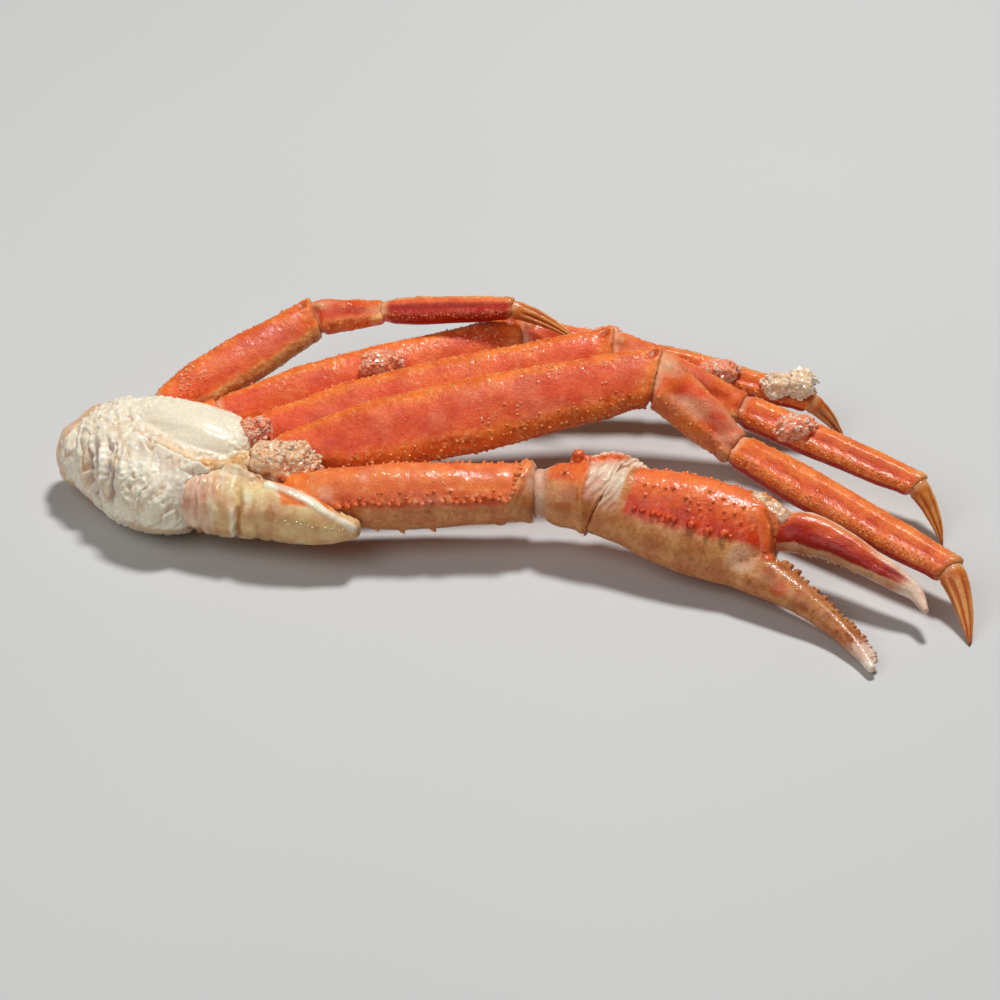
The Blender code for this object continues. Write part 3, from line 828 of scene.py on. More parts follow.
def paints():
    """All materials by name."""
    # The shells' stain and deep colours also serve as painted shade, and their raised and pale colours as a few painted
    # highlights.
    made = {
        "leg": shell_paint("leg_shell", face=(0.86, 0.110, 0.036), ridge=(0.92, 0.190, 0.028),
                           cream=(0.84, 0.42, 0.15), tip=(0.95, 0.48, 0.18), membrane=(0.88, 0.42, 0.24),
                           stain=(0.26, 0.026, 0.008), deep=(0.48, 0.018, 0.003), wet=0.25),
        "claw": shell_paint("claw_shell", face=(0.92, 0.175, 0.035), ridge=(0.76, 0.060, 0.008),
                            cream=(0.77, 0.325, 0.110), tip=(0.95, 0.46, 0.17), membrane=(0.95, 0.75, 0.58),
                            stain=(0.36, 0.110, 0.020), deep=(0.38, 0.010, 0.001), dull=0.38, wet=0.36, speckle=0.45),
        "nail": shell_paint("nail_shell", face=(0.70, 0.185, 0.030), ridge=(0.82, 0.33, 0.09),
                            cream=(0.86, 0.52, 0.18), tip=(0.90, 0.50, 0.18), membrane=(0.90, 0.55, 0.28),
                            stain=(0.12, 0.022, 0.005), deep=(0.48, 0.09, 0.012), dull=0.36, speckle=0.4),
        "cream": shell_paint("cream_shell", face=(0.87, 0.58, 0.27), ridge=(0.94, 0.22, 0.03),
                             cream=(0.95, 0.73, 0.41), tip=(0.98, 0.90, 0.70), membrane=(0.88, 0.54, 0.42),
                             stain=(0.42, 0.15, 0.025), deep=(0.60, 0.26, 0.06), dull=0.36, wet=0.5, speckle=0.12),
        "meat": meat_paint(),
    }
    return made | {name: ice_paint(name, *tones) for name, tones in ICE_TONES.items()}


# ---------------------------------------------------------------- walking legs


def joint_planes(joints):
    """The direction of each stretch, and the plane across each joint as its normal."""
    along = [unit(b - a) for a, b in zip(joints, joints[1:])]
    return along, [along[0]] + [unit(a + b) for a, b in zip(along, along[1:])] + [along[-1]]


def dress_ends(skin, seed):
    """Soft wrinkled membrane at the start, and a thin cream edge at the end; the height is returned."""
    points, values = skin.points, skin.values
    soft = 1 - rise(skin.run + 0.8 * noise(points, 3.0, seed + 40), 0.6, 3.0)
    lip = 1 - rise(skin.rest, 0.3, 1.1)
    wrinkle = noise(points, (1.2, 3.0, 3.0), seed + 41)
    skin.tint(pale=np.maximum(values.get("pale", 0), soft * (0.70 + 0.30 * wrinkle)),
              cream=np.maximum(values["cream"], lip * 0.7) + 0.4 * soft,
              raised=values["raised"] * (1 - soft),
              # painted shade: the start of the piece is darkened where it goes into the joint gap
              stain=values.get("stain", 0) * (1 - soft) + 0.7 * (1 - rise(skin.run, -0.6, 0.6)))
    return -0.2 * soft * (1 + wrinkle)


def dress_ischium(skin, seed):
    points = skin.points
    angle = wavering(skin, seed, (10, 6.0))
    grains = granules(points, 1.2, seed)
    skin.tint(ridge=band(angle, 10, 40, 30), cream=band(angle, 250, 80, 30), raised=0.3 * grains)
    skin.push(0.2 * grains + 0.3 * noise(points, 6.0, seed) + dress_ends(skin, seed))


def dress_merus(skin, seed, length, cream_side, warm):
    """A smooth red face between granular orange edges, and cream from one angle to another below."""
    points = skin.points
    angle = wavering(skin, seed, (12, 7.0), (5, 1.8))
    top, low = band(angle, 12, 22, 34), band(angle, 172, 34, 30)
    under = band(angle, sum(cream_side) / 2, (cream_side[1] - cream_side[0]) / 2, 14)
    knee = 1 - rise(skin.rest + 2.5 * noise(points, 4.0, seed + 2), 2, 9)
    patches = warm * blotches(points, (12.0, 6.0, 6.0), seed + 24, -0.35, 0.4)
    ridge = np.clip(np.maximum(top, low) + knee + patches, 0, 1)
    coarse, fine = granules(points, 1.7, seed, 0.6), granules(points, 1.1, seed + 7, 0.7)
    pits = granules(points, 2.2, seed + 11, 0.30)
    smooth_part = (1 - ridge) * (1 - under)
    # The socket dent by the knee is darkened with deep and stain: painted shade in it.
    socket = patch(skin, length - 3.0, 48, 2.6, 20)
    dark = 0.7 * blotches(points, (5.0, 2.5, 2.5), seed + 23, 0.15, 0.5) * (1 - coarse) * (0.35 + 0.65 * low)
    skin.tint(ridge=ridge, cream=under, deep=dark + 0.5 * socket, stain=0.14 * pits * smooth_part + 0.35 * socket,
              raised=0.50 * coarse * ridge * (1 - under) + 0.28 * fine * (0.4 + 0.6 * ridge),
              pale=0.20 * blotches(points, 10.0, seed + 21, 0.0, 0.6) * smooth_part)
    height = 0.25 * top + 0.35 * low + ridge * (0.34 * coarse + 0.10 * fine) + smooth_part * (0.12 * fine - 0.14 * pits)
    skin.push(height - 0.9 * socket + 0.35 * noise(points, 15.0, seed + 3) + dress_ends(skin, seed))


def merus_thorns(length, seed, smooth_low):
    """Granules with pale tips in loose rows along both edges of a merus, larger by the lower edge and the knee."""
    rows = [((12, length - 2), (180, 180), 2.6, (0.55, 0.50)), ((6, length - 2), (166, 166), 2.4, (0.55, 0.48)),
            ((8, length - 3), (152, 150), 2.8, (0.50, 0.46)), ((24, length - 3), (138, 134), 4.0, (0.42, 0.42)),
            ((length * 0.6, length - 3), (124, 118), 5.0, (0.40, 0.42))]
    edge = [((4, length - 2), (2, 2), 1.9, (0.34, 0.38)), ((6, length - 3), (20, 24), 3.2, (0.30, 0.36))]
    return [(thorn_line(*ends, angles, spacing, seed + k, sway=8), sizes, 1.6, {"raised": 0.85})
            for k, (ends, angles, spacing, sizes) in enumerate(edge if smooth_low else rows + edge)]


def dress_carpus(skin, seed, length, pink):
    """A warm segment with a granular lower edge, a shallow groove along it and cream knobs at its joints."""
    points = skin.points
    angle = wavering(skin, seed, (10, 6.0), (6, 1.8))
    top, low, under = band(angle, 8, 20, 18), band(angle, 152, 30, 16), band(angle, 250, 40, 20)
    groove = band(angle, 92, 2, 20) * rise(skin.run, 5, 10) * rise(skin.rest, 3, 8)
    low = low * rise(skin.run + 3 * noise(points, 4.0, seed + 2), 2.5, 5)
    ridge = np.maximum(top * rise(skin.run, 2, 5), low)
    coarse, fine = granules(points, 1.4, seed, 0.55), granules(points, 0.8, seed + 7, 0.7)
    condyle = patch(skin, 2.2, 62, 2.4, 20) + patch(skin, length - 1.5, 140, 3.4, 30)
    pale = pink * blotches(points, (12.0, 5.0, 5.0), seed + 21, -0.3, 0.4) * (1 - 0.7 * ridge) * (1 - under)
    skin.tint(ridge=ridge + 0.7 * blotches(points, 7.0, seed + 24, -0.2, 0.3), cream=under + condyle, pale=pale,
              raised=(0.5 * coarse + 0.05) * ridge + 0.25 * fine * ridge + 0.3 * condyle,
              # painted shade: the groove is darkened with deep
              deep=0.5 * groove + 0.5 * blotches(points, 3.0, seed + 22, 0.2, 0.5) * low)
    height = 0.2 * top + 0.4 * low + ridge * (0.28 * coarse + 0.10 * fine) - 0.5 * groove + 0.9 * condyle
    skin.push(height + 0.4 * noise(points, 8.0, seed + 3) + dress_ends(skin, seed))


def dress_propodus(skin, seed, cream_top, red):
    """A long segment with granular edges, two grooves along its face, and cream or red from 0 to 1."""
    points = skin.points
    angle = wavering(skin, seed, (6, 8.0), (5, 1.8))
    top, upper, lower = band(angle, 4, 10, 16), band(angle, 42, 22, 16), band(angle, 128, 14, 12)
    along = rise(skin.run, 3, 9) * rise(skin.rest, 3, 10)
    groove, second = band(angle, 88, 3, 18) * along, band(angle, 156, 3, 10) * along
    line = band(angle, 88, 0, 5) * along * blotches(points, 4.0, seed + 20, -0.5, 0.2)
    under = band(angle, 264, 40, 24)
    coarse, fine = granules(points, 1.2, seed, 0.6), granules(points, 0.8, seed + 7, 0.75)
    ankle = 1 - rise(skin.rest + 2.0 * noise(points, 3.0, seed + 4), 1.5, 5)
    ridge = np.clip(top + upper + lower + 0.45 + 0.3 * blotches(points, 6.0, seed + 25, -0.3, 0.4), 0, 1)
    grains = np.clip((0.40 * coarse + 0.3 * fine) * (lower + 0.75 * upper + top) + 0.14 * fine, 0, 1)
    # deep: darker along the lower edge, and painted shade along the first groove (its line and the band at 100 degrees)
    deep = band(angle, 180, 20, 14) * (1 - coarse * 0.3) + 0.6 * line + 0.25 * band(angle, 100, 8, 10)
    skin.tint(ridge=ridge * (1 - 0.6 * red), raised=grains * (1 - 0.5 * red), deep=deep + red * (1 - upper),
              cream=np.maximum(under * 0.6, cream_top * band(angle, 12, 22, 16)) + 0.7 * ankle * upper)
    height = 0.25 * upper + 0.5 * lower + 0.3 * top + (top + upper + lower) * (0.16 * coarse + 0.10 * fine)
    height = height - 0.32 * groove - 0.15 * line - 0.25 * second + 0.08 * fine * (1 - red)
    skin.push(height + 0.15 * noise(points, 9.0, seed + 3) + dress_ends(skin, seed))


def dress_nail(skin, seed):
    """A dactylus: amber, fluted along its length, with a pale ridge and a dark hard tip."""
    points, angle = skin.points, skin.angle
    share = skin.run / skin.run.max()
    tip = rise(share, 0.80, 0.97)
    fade = (1 - tip) * rise(skin.run, 2, 6)
    grooves = sum(band(angle, middle, 2, 12) for middle in (58, 112, 160, 215, 325)) * fade
    flutes = sum(band(angle, middle, 5, 12) for middle in (20, 84, 136)) * fade
    streak = noise(points, (2.5, 5.0, 5.0), seed)
    crest = band(angle, 20, 14, 14) * (1 - tip)
    # painted shade: deep darkens the grooves
    skin.tint(ridge=0.35 * flutes + 0.5 * streak, deep=0.75 * grooves + 0.35 * rise(streak, 0.0, 0.5) * (1 - crest),
              cream=0.75 * crest * rise(streak, -0.5, 0.3) + 0.45 * flutes + 0.3 * band(angle, 270, 50, 30),
              raised=0.2 * granules(points, 0.9, seed, 0.5), pale=0.4 * (1 - rise(skin.run, 0.6, 2.4)),
              stain=tip * (0.35 + 0.6 * rise(share, 0.9, 1.0)))
    skin.push(-0.5 * np.clip(grooves, 0, 1) + 0.2 * flutes + 0.2 * noise(points, 3.0, seed + 1) * (1 - tip))


def nail_rows(start, tip, first, root, widest):
    """The pointed last piece of a walking leg, bowed a little to the front."""
    length = np.linalg.norm(tip - start)
    along = (tip - start) / length
    first_axes, axes = across(first, LEG_FACE), across(along, LEG_FACE)
    bow = axes[0] * 0.05 * length
    stub = (root[0] * STUB_SHARE, root[1] * STUB_SHARE)
    base = start + first * JOINT_GAP / 2
    rows = dome_rows(base, -first, first_axes, *stub, stub[0], -1, length + 1)
    taper = [(0.15, 0.97), (0.35, 0.80), (0.6, 0.56), (0.8, 0.33), (0.93, 0.15), (1.0, 0.0)]
    count = int(length / (GRID * 0.8))
    for k in range(count):
        share = k / count
        turn = rise(share, 0, 0.2)
        plane = unit(first * (1 - turn) + along * turn)
        width, depth = (wide * np.interp(share, *zip((0, own / wide), *taper)) for own, wide in zip(root, widest))
        pinch = 1 - 0.12 * (1 - rise(share * length, 0, 2.5))
        offset = (tip - start) * share + bow * (4 * share * (1 - share))
        centre = (base if k == 0 else start) + offset
        rows.append(row(centre, across(plane, LEG_FACE), width * pinch, depth * pinch, share * length,
                        length * (1 - share)))
    rows.append(row(tip, axes, 0, 0, length, 0))
    return rows


def walking_leg(name, paint, seed):
    """A leg's five pieces, each dressed for its kind."""
    joints = [np.array(p, float) for p in LEG_JOINTS[name]]
    along, planes = joint_planes(joints)
    hip, merus, carpus, propodus, dactylus = LEG_SIZES[name]
    knee, wrist, ankle = [(w * 0.74, d * 0.84) for w, d in (merus, carpus, propodus)]
    stretches = [
        ("ischium", [(0, hip[0] * 0.85, hip[1] * 0.85), (1, *hip)]),
        ("merus", [(0, *hip), (0.3, merus[0] * 0.97, merus[1]), (0.5, *merus),
                   (0.85, merus[0] * 0.86, merus[1] * 0.92), (1, *knee)]),
        ("carpus", [(0, *knee), (0.55, *carpus), (1, *wrist)]),
        ("propodus", [(0, *wrist), (0.3, *propodus), (0.75, propodus[0] * 0.9, propodus[1] * 0.9), (1, *ankle)]),
    ]
    for k, (part, stations) in enumerate(stretches):
        skin = tube(limb_rows((joints[k], joints[k + 1]), (planes[k], planes[k + 1]), LEG_FACE, stations))
        skin = dressed_stretch(skin, part, name, seed + 10 * k, along[k])
        DRESSED[f"{name}_{part}"] = skin
        place(f"{name}_{part}_skin", skin, paint["leg"], [f"{name}_{part}"])
    nail = tube(nail_rows(joints[4], joints[5], planes[4], ankle, dactylus), NAIL_GRID)
    dress_nail(nail, seed + 70)
    place(f"{name}_dactylus_skin", nail, paint["nail"], [f"{name}_dactylus"])


def dressed_stretch(skin, part, name, seed, along):
    """One of a leg's first four pieces with its colours, relief and thorns."""
    last_leg = name == LAST_LEG
    warm, pink, cream_top = LEG_TINTS[name]
    length = skin.run[skin.rest >= 0].max()
    if part == "ischium":
        dress_ischium(skin, seed)
    elif part == "merus":
        dress_merus(skin, seed, length, (134, 316) if last_leg else (240, 316), warm)
        skin = thorny(skin, merus_thorns(length, seed, last_leg), along * 0.6, seed, 0.3)
    elif part == "carpus":
        dress_carpus(skin, seed, length, pink)
        low = (thorn_line(5, length - 2, (168, 168), 2.1, seed, sway=8)
               + thorn_line(5, length - 3, (140, 140), 2.6, seed + 1, sway=10))
        top = thorn_line(3, length - 1, (2, 2), 1.9, seed + 2, sway=8)
        skin = thorny(skin, [(low, (0.42, 0.42), 1.6, {"raised": 0.8})], along * 0.5, seed, 0.3)
        skin = thorny(skin, [(top, (0.34, 0.36), 1.6, {"raised": 0.5})], along * 0.5, seed + 2, 0.3)
    else:
        dress_propodus(skin, seed, cream_top, float(last_leg))
        places = (thorn_line(3, length - 3, (128, 128), 1.25, seed, sway=11)
                  + thorn_line(3, length - 3, (116, 116), 2.2, seed + 3, sway=8)
                  + thorn_line(3, length - 3, (2, 2), 1.3, seed + 1, sway=7))
        skin = thorny(skin, [(places, (0.32, 0.34), 1.5, {"raised": 0.7})], along * 0.7, seed, 0.3)
    return skin


# ---------------------------------------------------------------- the claw arm


def claw_arm(paint):
    joints = [np.array(p, float) for p in CLAW_JOINTS]
    along, planes = joint_planes(joints)
    planes[2] = unit(WRIST_PLANE)
    merus_rows = claw_merus(joints, along, planes, paint)
    claw_carpus(joints, along, planes, paint)
    claw_palm(joints[2], joints[3], planes[2], paint)
    moving_finger(paint)
    claw_root(merus_rows, paint)


def claw_merus(joints, along, planes, paint):
    """The arm's long segment; its rows are returned, because the root's skin keeps clear of them."""
    stations = [(0, 8.0, 7.6), (0.18, 9.6, 8.8), (0.45, 10.9, 9.4), (0.85, 9.9, 8.8), (1, 9.6, 8.4)]
    rows = limb_rows((joints[0], joints[1]), (planes[0], planes[1]), LEG_FACE, stations, pinch=0.0)
    skin = tube(rows)
    length = skin.run[skin.rest >= 0].max()
    dress_claw_merus(skin, length)
    lines = [
        (thorn_line(14, length - 10, (119, 114), 2.7, 310, sway=3), (1.35, 0.8), 1.3, {"raised": 0.45, "ridge": 0.6}),
        (thorn_line(18, length - 12, (106, 102), 2.6, 311, sway=8), (0.5, 0.5), 1.6, {"raised": 0.5}),
        (thorn_line(4, length - 2, (2, 8), 2.6, 312, sway=6), (0.7, 0.5), 1.3, {"raised": 0.35}),
        ([(26, 184), (34.5, 186), (44, 182)], (0.9, 0.7), 1.2, {}),
        (thorn_line(30, length - 14, (140, 136), 9.0, 314, 0.3), (0.5, 0.5), 1.6, {"stain": 0.3}),
        ([(length - 3.6 - 4.4 * k / 11, 20 + 8.6 * k) for k in range(12)], (0.75, 0.75), 1.7, {"raised": 0.45}),
    ]
    skin = thorny(skin, lines, along[0] * 0.7, 320, 0.25, lift=0.35, reach=2.2)
    DRESSED["claw_merus"] = skin
    place("claw_merus_skin", skin, paint["claw"], ["claw_merus"])
    return rows


def dress_claw_merus(skin, length):
    """Orange above a row of thorns and cream below, up to a slanting rim with bare cream skin past it."""
    points, run = skin.points, skin.run
    high = up_front(points)
    edge = wavering(skin, 300, (6, 5.0), (3, 1.2))
    lower_edge = 123 - 16 * rise(run, length - 14, length - 3)
    past = points[:, 0] - 5.2 - 0.45 * high + 0.9 * noise(points, 2.0, 302)
    end, rim = rise(past, -0.4, 0.5), bell(past, -1.4, 1.2)
    cream = np.maximum(rise(edge, lower_edge, lower_edge + 9) * (1 - rise(edge, 318, 330)), end)
    orange = 1 - cream
    coarse, fine = granules(points, 2.3, 303, 0.4), granules(points, 0.9, 304, 0.7)
    row_band = band(edge, 113, 8, 14)
    knob = near(points, (15.2, -27.5, 27.5), (3.4, 4.5, 3.5))
    bare = end * rise(high, -1, 4) * blotches(points, (2.0, 6.0, 6.0), 303, -0.4, 0.4)
    # painted shade: blotches that darken the cream underside towards the elbow
    blotchy_shade = blotches(points, 9.0, 307, -0.1, 0.5) * cream * rise(run, 40, 70)
    specks = granules(points, 3.1, 308, 0.12) * cream
    skin.tint(cream=np.maximum(cream, 0.45 * (1 - rise(run, 1, 12))), ridge=0.6 * row_band * orange,
              raised=(0.12 + 0.36 * coarse + 0.15 * fine + 0.3 * rim) * orange + 0.9 * knob,
              pale=0.25 * blotches(points, 8.0, 305, 0.2, 0.6) * orange + 0.8 * bare,
              deep=0.5 * row_band * blotches(points, 2.4, 306, -0.1, 0.5) * orange,
              # stain: the blotchy painted shade, brown specks, and painted shade at the elbow's lower side
              stain=0.30 * blotchy_shade + 0.35 * specks + 0.35 * patch(skin, length - 2, 150, 9, 40))
    height = (0.25 * coarse + 0.08 * fine) * orange + 0.45 * noise(points, 10.0, 309)
    skin.push(height + 0.35 * row_band * (1 - end) + 0.45 * rim - 0.45 * end + knob)


def claw_carpus(joints, along, planes, paint):
    """The segment before the wrist, with the horn over the wrist's folds and two lumps behind it."""
    stations = [(0, 8.4, 7.6), (0.4, 10.4, 8.8), (1, 12.4, 10.0)]
    rows = limb_rows((joints[1], joints[2]), (planes[1], planes[2]), LEG_FACE, stations, pinch=0.12, neck=7.0)
    horn = sweep_rows(WRIST_HORN, [(3.4, 1.7), (3.8, 1.6), (3.2, 1.5), (1.8, 1.2)], LEG_FACE)
    lumps = [lump([(x - 0.7, y, z - 0.6), (x, y, z), (x + 0.5, y, z + lift)], (size, size), LEG_FACE)
             for x, y, z, lift, size in ((25.0, -18.5, 29.0, 2.4, 1.9), (28.0, -19.5, 29.0, 1.2, 1.5))]
    skin = merged("claw_carpus", [tube(rows), tube(horn)] + lumps)
    points, slope = skin.points, along[1]
    skin.values["angle"] = local_to(points, joints[1], joints[2], LEG_FACE, 10.8, 9.0)[1]
    skin.values["run"] = (points - joints[1]) @ planes[1] / (slope @ planes[1])
    rest = (joints[2] - points) @ planes[2] / (slope @ planes[2])
    dress_claw_carpus(skin, rest, near_line(points, [r["centre"] for r in horn[::6]], 3.4))
    length = np.linalg.norm(joints[2] - joints[1])
    places = [(length * 0.42, 64), (length * 0.3, 40), (length * 0.48, 30)]
    lines = [(places, (0.7, 0.6), 1.6, {"raised": 0.2, "stain": 0, "deep": 0})]
    skin = thorny(skin, lines, slope * 0.4, 413, 0.12, lift=0.4, reach=2.5)
    place("claw_carpus_skin", skin, paint["claw"], ["claw_carpus"])


def dress_claw_carpus(skin, rest, on_horn):
    """Orange above and cream below, up to a collar; past it the wrist's pale folds under the orange horn."""
    points, run = skin.points, skin.run
    high = up_front(points)
    edge = wavering(skin, 400, (8, 5.0), (4, 1.3))
    past = points[:, 0] - 26.4 - 0.25 * np.maximum(high - 2, 0) + 0.5 * noise(points, 2.0, 410)
    behind = rise(past, -0.3, 0.5)
    collar = bell(past, -0.9, 0.8) * (1 - rise(high, 10, 12))
    orange = band(edge, 32, 40, 18) * rise(run + 2 * noise(points, 3.0, 408), 2.5, 5.0) * (1 - behind)
    far = rise(on_horn, 0.05, 0.3) * rise(points[:, 1] - 0.2 * (points[:, 0] - 36), -20.5, -18.5)
    orange = np.maximum(orange, far * (1 - rise(points[:, 0], 45, 46.5)))
    bare = behind * (1 - orange)
    soft = 1 - rise(run, 1.0, 5.5)
    coarse, fine = granules(points, 1.7, 402, 0.4), granules(points, 0.9, 403, 0.7)
    rim = (1 - rise(rest, 1.2, 2.6)) * (1 - rise(on_horn, 0.0, 0.2))
    # painted highlight: bright is a lighter spot on top of the carpus
    bright = near(points, (19.5, -28, 29), (5, 6, 5))
    folded = wrist_folds(points) * bare
    # painted shade on the cream lower side
    shade = (1 - orange) * blotches(points, 7.0, 405, -0.1, 0.5) * band(edge, 150, 40, 30)
    skin.tint(cream=1 - 0.88 * orange - 0.3 * bare,
              ridge=0.25 * orange + 0.45 * bare * blotches(points, 4.0, 412, 0.0, 0.5),
              raised=0.30 * coarse * orange + 0.1 * fine + 0.5 * bright * (1 - orange) + 0.6 * collar * fine,
              pale=np.maximum(soft * 0.7 * (1 - bright), 0.8 * bare * rise(high, -4, 7)),
              deep=0.25 * orange * blotches(points, 4.0, 404, 0.1, 0.6),
              # painted shade: darker in the fold grooves and on the bare skin's lower part
              stain=0.40 * shade + 0.3 * folded + 0.3 * bare * (1 - rise(high, -4, 5)))
    folds = np.sin(run * 1.9 + 2.5 * noise(points, 5.0, 406)) * soft
    knotty = far + near(points, (26, -19, 29.5), (5, 4, 5))
    skin.push(0.2 * folds + orange * (0.22 * coarse + 0.08 * fine) + 0.4 * noise(points, 8.0, 407)
              + 0.3 * rim * (1 - behind) + 0.5 * collar - 0.5 * bare - 0.8 * folded + 0.6 * knotty * coarse)


def wrist_folds(points):
    """Slanting folds of the soft skin at the claw's wrist: 1 along each groove."""
    high = up_front(points)
    across_folds = 0.80 * points[:, 0] - 0.60 * high + 2.2 * noise(points, 7.0, 507)
    return (1 - np.abs(np.sin(across_folds * 1.35)) ** 0.6) * rise(high + 3 * noise(points, 5.0, 516), -7, 3)


def palm_rows(wrist, end, first):
    """The palm from the wrist's plane to its rounded end."""
    along = unit(end - wrist)
    length = np.linalg.norm(end - wrist)
    stub = (12.4 * STUB_SHARE, 10.0 * STUB_SHARE)
    base, first_axes, axes = wrist + first * JOINT_GAP / 2, across(first, PALM_FACE), across(along, PALM_FACE)
    rows = dome_rows(base, -first, first_axes, *stub, stub[0], -1, length + 1)
    stations = [(0, 12.0, 9.6), (0.16, 12.9, 9.6), (0.34, 15.0, 10.0), (0.55, 16.2, 10.4), (0.75, 16.0, 10.0),
                (0.92, 15.4, 9.0), (1.03, 12.4, 7.0), (1.08, 0.0, 0.0)]
    shares, widths, depths = zip(*stations)
    turned, last = stations[1][0], stations[-1][0]
    count = int(length / PALM_GRID)
    for k in range(count + 1):
        share = last * k / count
        turn = rise(share, 0, turned)
        plane = unit(first * (1 - turn) + along * turn)
        tail = min(1.0, max(share - 1.0, 0) / 0.08)
        round_end = math.sqrt(max(1 - tail * tail, 0))
        width, depth = (np.interp(min(share, 1.0), shares, sizes) * round_end for sizes in (widths, depths))
        rows.append(row(wrist + (end - wrist) * share, across(plane, PALM_FACE) if share < turned else axes,
                        width, depth, share * length, length * (1 - share)))
    return rows


def claw_palm(wrist, end, first, paint):
    """The palm with its fixed finger, the soft collar at its wrist and the wrinkled knob, in one skin."""
    hand = tube(palm_rows(wrist, end, first), PALM_GRID)
    finger_rows = sweep_rows(FIXED_FINGER, FIXED_FINGER_SIZES, PALM_FACE, ends=(0.4, 0.7))
    collar = sweep_rows([wrist - first * 0.9, wrist, wrist + first * 2.0], [(11.7, 9.4), (12.1, 9.7), (12.0, 9.6)],
                        PALM_FACE, ends=(0.05, 0.05), square_to=first)
    knob = [lump([(x - 2, y + 0.6, z), (x, y, z + 0.5), (x + 2.4, y - 1.2, z - 0.6)], (size, size * 0.8), PALM_FACE)
            for x, y, z, size in ((84.5, -39.5, 26.0, 3.2), (88.0, -42.5, 24.5, 3.0))]
    skin = merged("claw_palm", [hand, tube(finger_rows), tube(collar)] + knob)
    length = np.linalg.norm(end - wrist)
    share, angle = local_to(skin.points, wrist, end, PALM_FACE, 15.5, 9.8)
    skin.values.update(run=np.clip(share, 0, 1.2) * length, angle=angle)
    dress_palm(skin, share)
    skin = palm_thorns(skin, length, unit(end - wrist) * 0.4)
    skin = finger_teeth(skin, FIXED_FINGER, finger_rows, (0.75, 3.95), 26, 352, 530, 1.45)
    place("claw_palm_skin", skin, paint["claw"], ["claw_palm"])


def dress_palm(skin, share):
    """Orange above and specked cream below, with a dark band between, pale folds, a crest and a white finger tip."""
    points, run = skin.points, skin.run
    turn = along_curve(points, FIXED_FINGER)
    finger = rise(turn, 0.35, 0.9) * rise(share, 0.86, 1.0)
    on_knob = near_line(points, [(82, -38.5, 27), (86, -41, 26), (90.5, -44.5, 24)], 4.6)
    crest = near_line(points, [(81, -45.5, 27.3), (84, -48.5, 25.5), (84.6, -52.4, 21.8), (85, -56, 18)], 3.0)
    crack = near_line(points, [(84.5, -44.5, 26.5), (87, -48.5, 24.5), (87.6, -52.5, 21), (88, -56, 17)], 1.6)
    tan = near(points, (76.7, -56.5, 17.5), (7, 6, 7)) * (1 - crest)
    patchy = near(points, (88, -66.3, 13), (5, 4, 4))
    edge = wavering(skin, 500, (5, 5.0), (3, 1.4))
    lower_edge = 104 - 3 * rise(share, 0.5, 0.95)
    orange = (1 - rise(edge, lower_edge - 4, lower_edge + 6)) + rise(edge, 338, 350)
    orange = orange * rise(run + 0.7 * noise(points, 3.0, 502), 7.2, 9.2) * (1 - finger)
    orange = np.clip(np.maximum(orange * (1 - rise(on_knob, 0.2, 0.5)), rise(crest, 0.2, 0.5)), 0, 1)
    cream = 1 - orange
    coarse, fine = granules(points, 1.9, 503, 0.4), granules(points, 0.95, 504, 0.7)
    knob_part = rise(on_knob, 0.3, 0.7) * cream
    specks, blotch = granules(points, 2.1, 505, 0.30), blotches(points, 4.0, 506, -0.3, 0.4)
    neck = 1 - rise(run, 5.0, 6.6)
    wrinkle = wrist_folds(points) * neck
    white = finger * rise(turn + 0.2 * noise(points, 3.0, 511), 2.6, 3.3)
    # blotches of wear on the fixed finger, which also darken it as painted shade
    wear_and_shade = finger * (0.22 + 0.45 * blotches(points, 2.2, 512, -0.1, 0.4)) * (1 - 0.8 * white)
    spotted = 0.60 * specks * cream * rise(run, 3.5, 5.5) * (0.5 + 0.5 * blotch)
    # painted shade: the cream is darker in blotches and towards the lower side
    shade = (0.15 * blotch + 0.16 * rise(edge, 125, 160) * (1 - finger)) * cream
    bumpy = 0.65 * knob_part * blotches(points, 2.5, 515, -0.5, 0.1)
    skin.tint(cream=cream * (1 - 0.7 * patchy), ridge=rise(edge, 62, 92) * orange * (1 - crest) + patchy,
              raised=orange * (0.22 * coarse + 0.14 * fine) + bumpy,
              pale=0.85 * neck * rise(up_front(points), -6, 4) + 0.3 * tan + 0.55 * knob_part + white,
              deep=0.45 * band(edge, 92, 14, 18) * orange * rise(share, 0.1, 0.3) * blotch,
              # painted shade also in the crack by the crest and in the wrist folds
              stain=(spotted + shade) * (1 - knob_part) + wear_and_shade + 0.8 * crack + 0.28 * wrinkle)
    knobbly = (1 - 2 * np.abs(noise(points, 2.4, 509, 2))) * rise(on_knob, 0.2, 0.6)
    skin.push(-0.8 * wrinkle + orange * (0.2 * coarse + 0.08 * fine) + 0.35 * noise(points, 9.0, 508)
              - 0.12 * specks * cream + 0.55 * rise(crest, 0.1, 0.7) * (1 + 0.5 * coarse) - 1.1 * crack + 0.8 * knobbly)


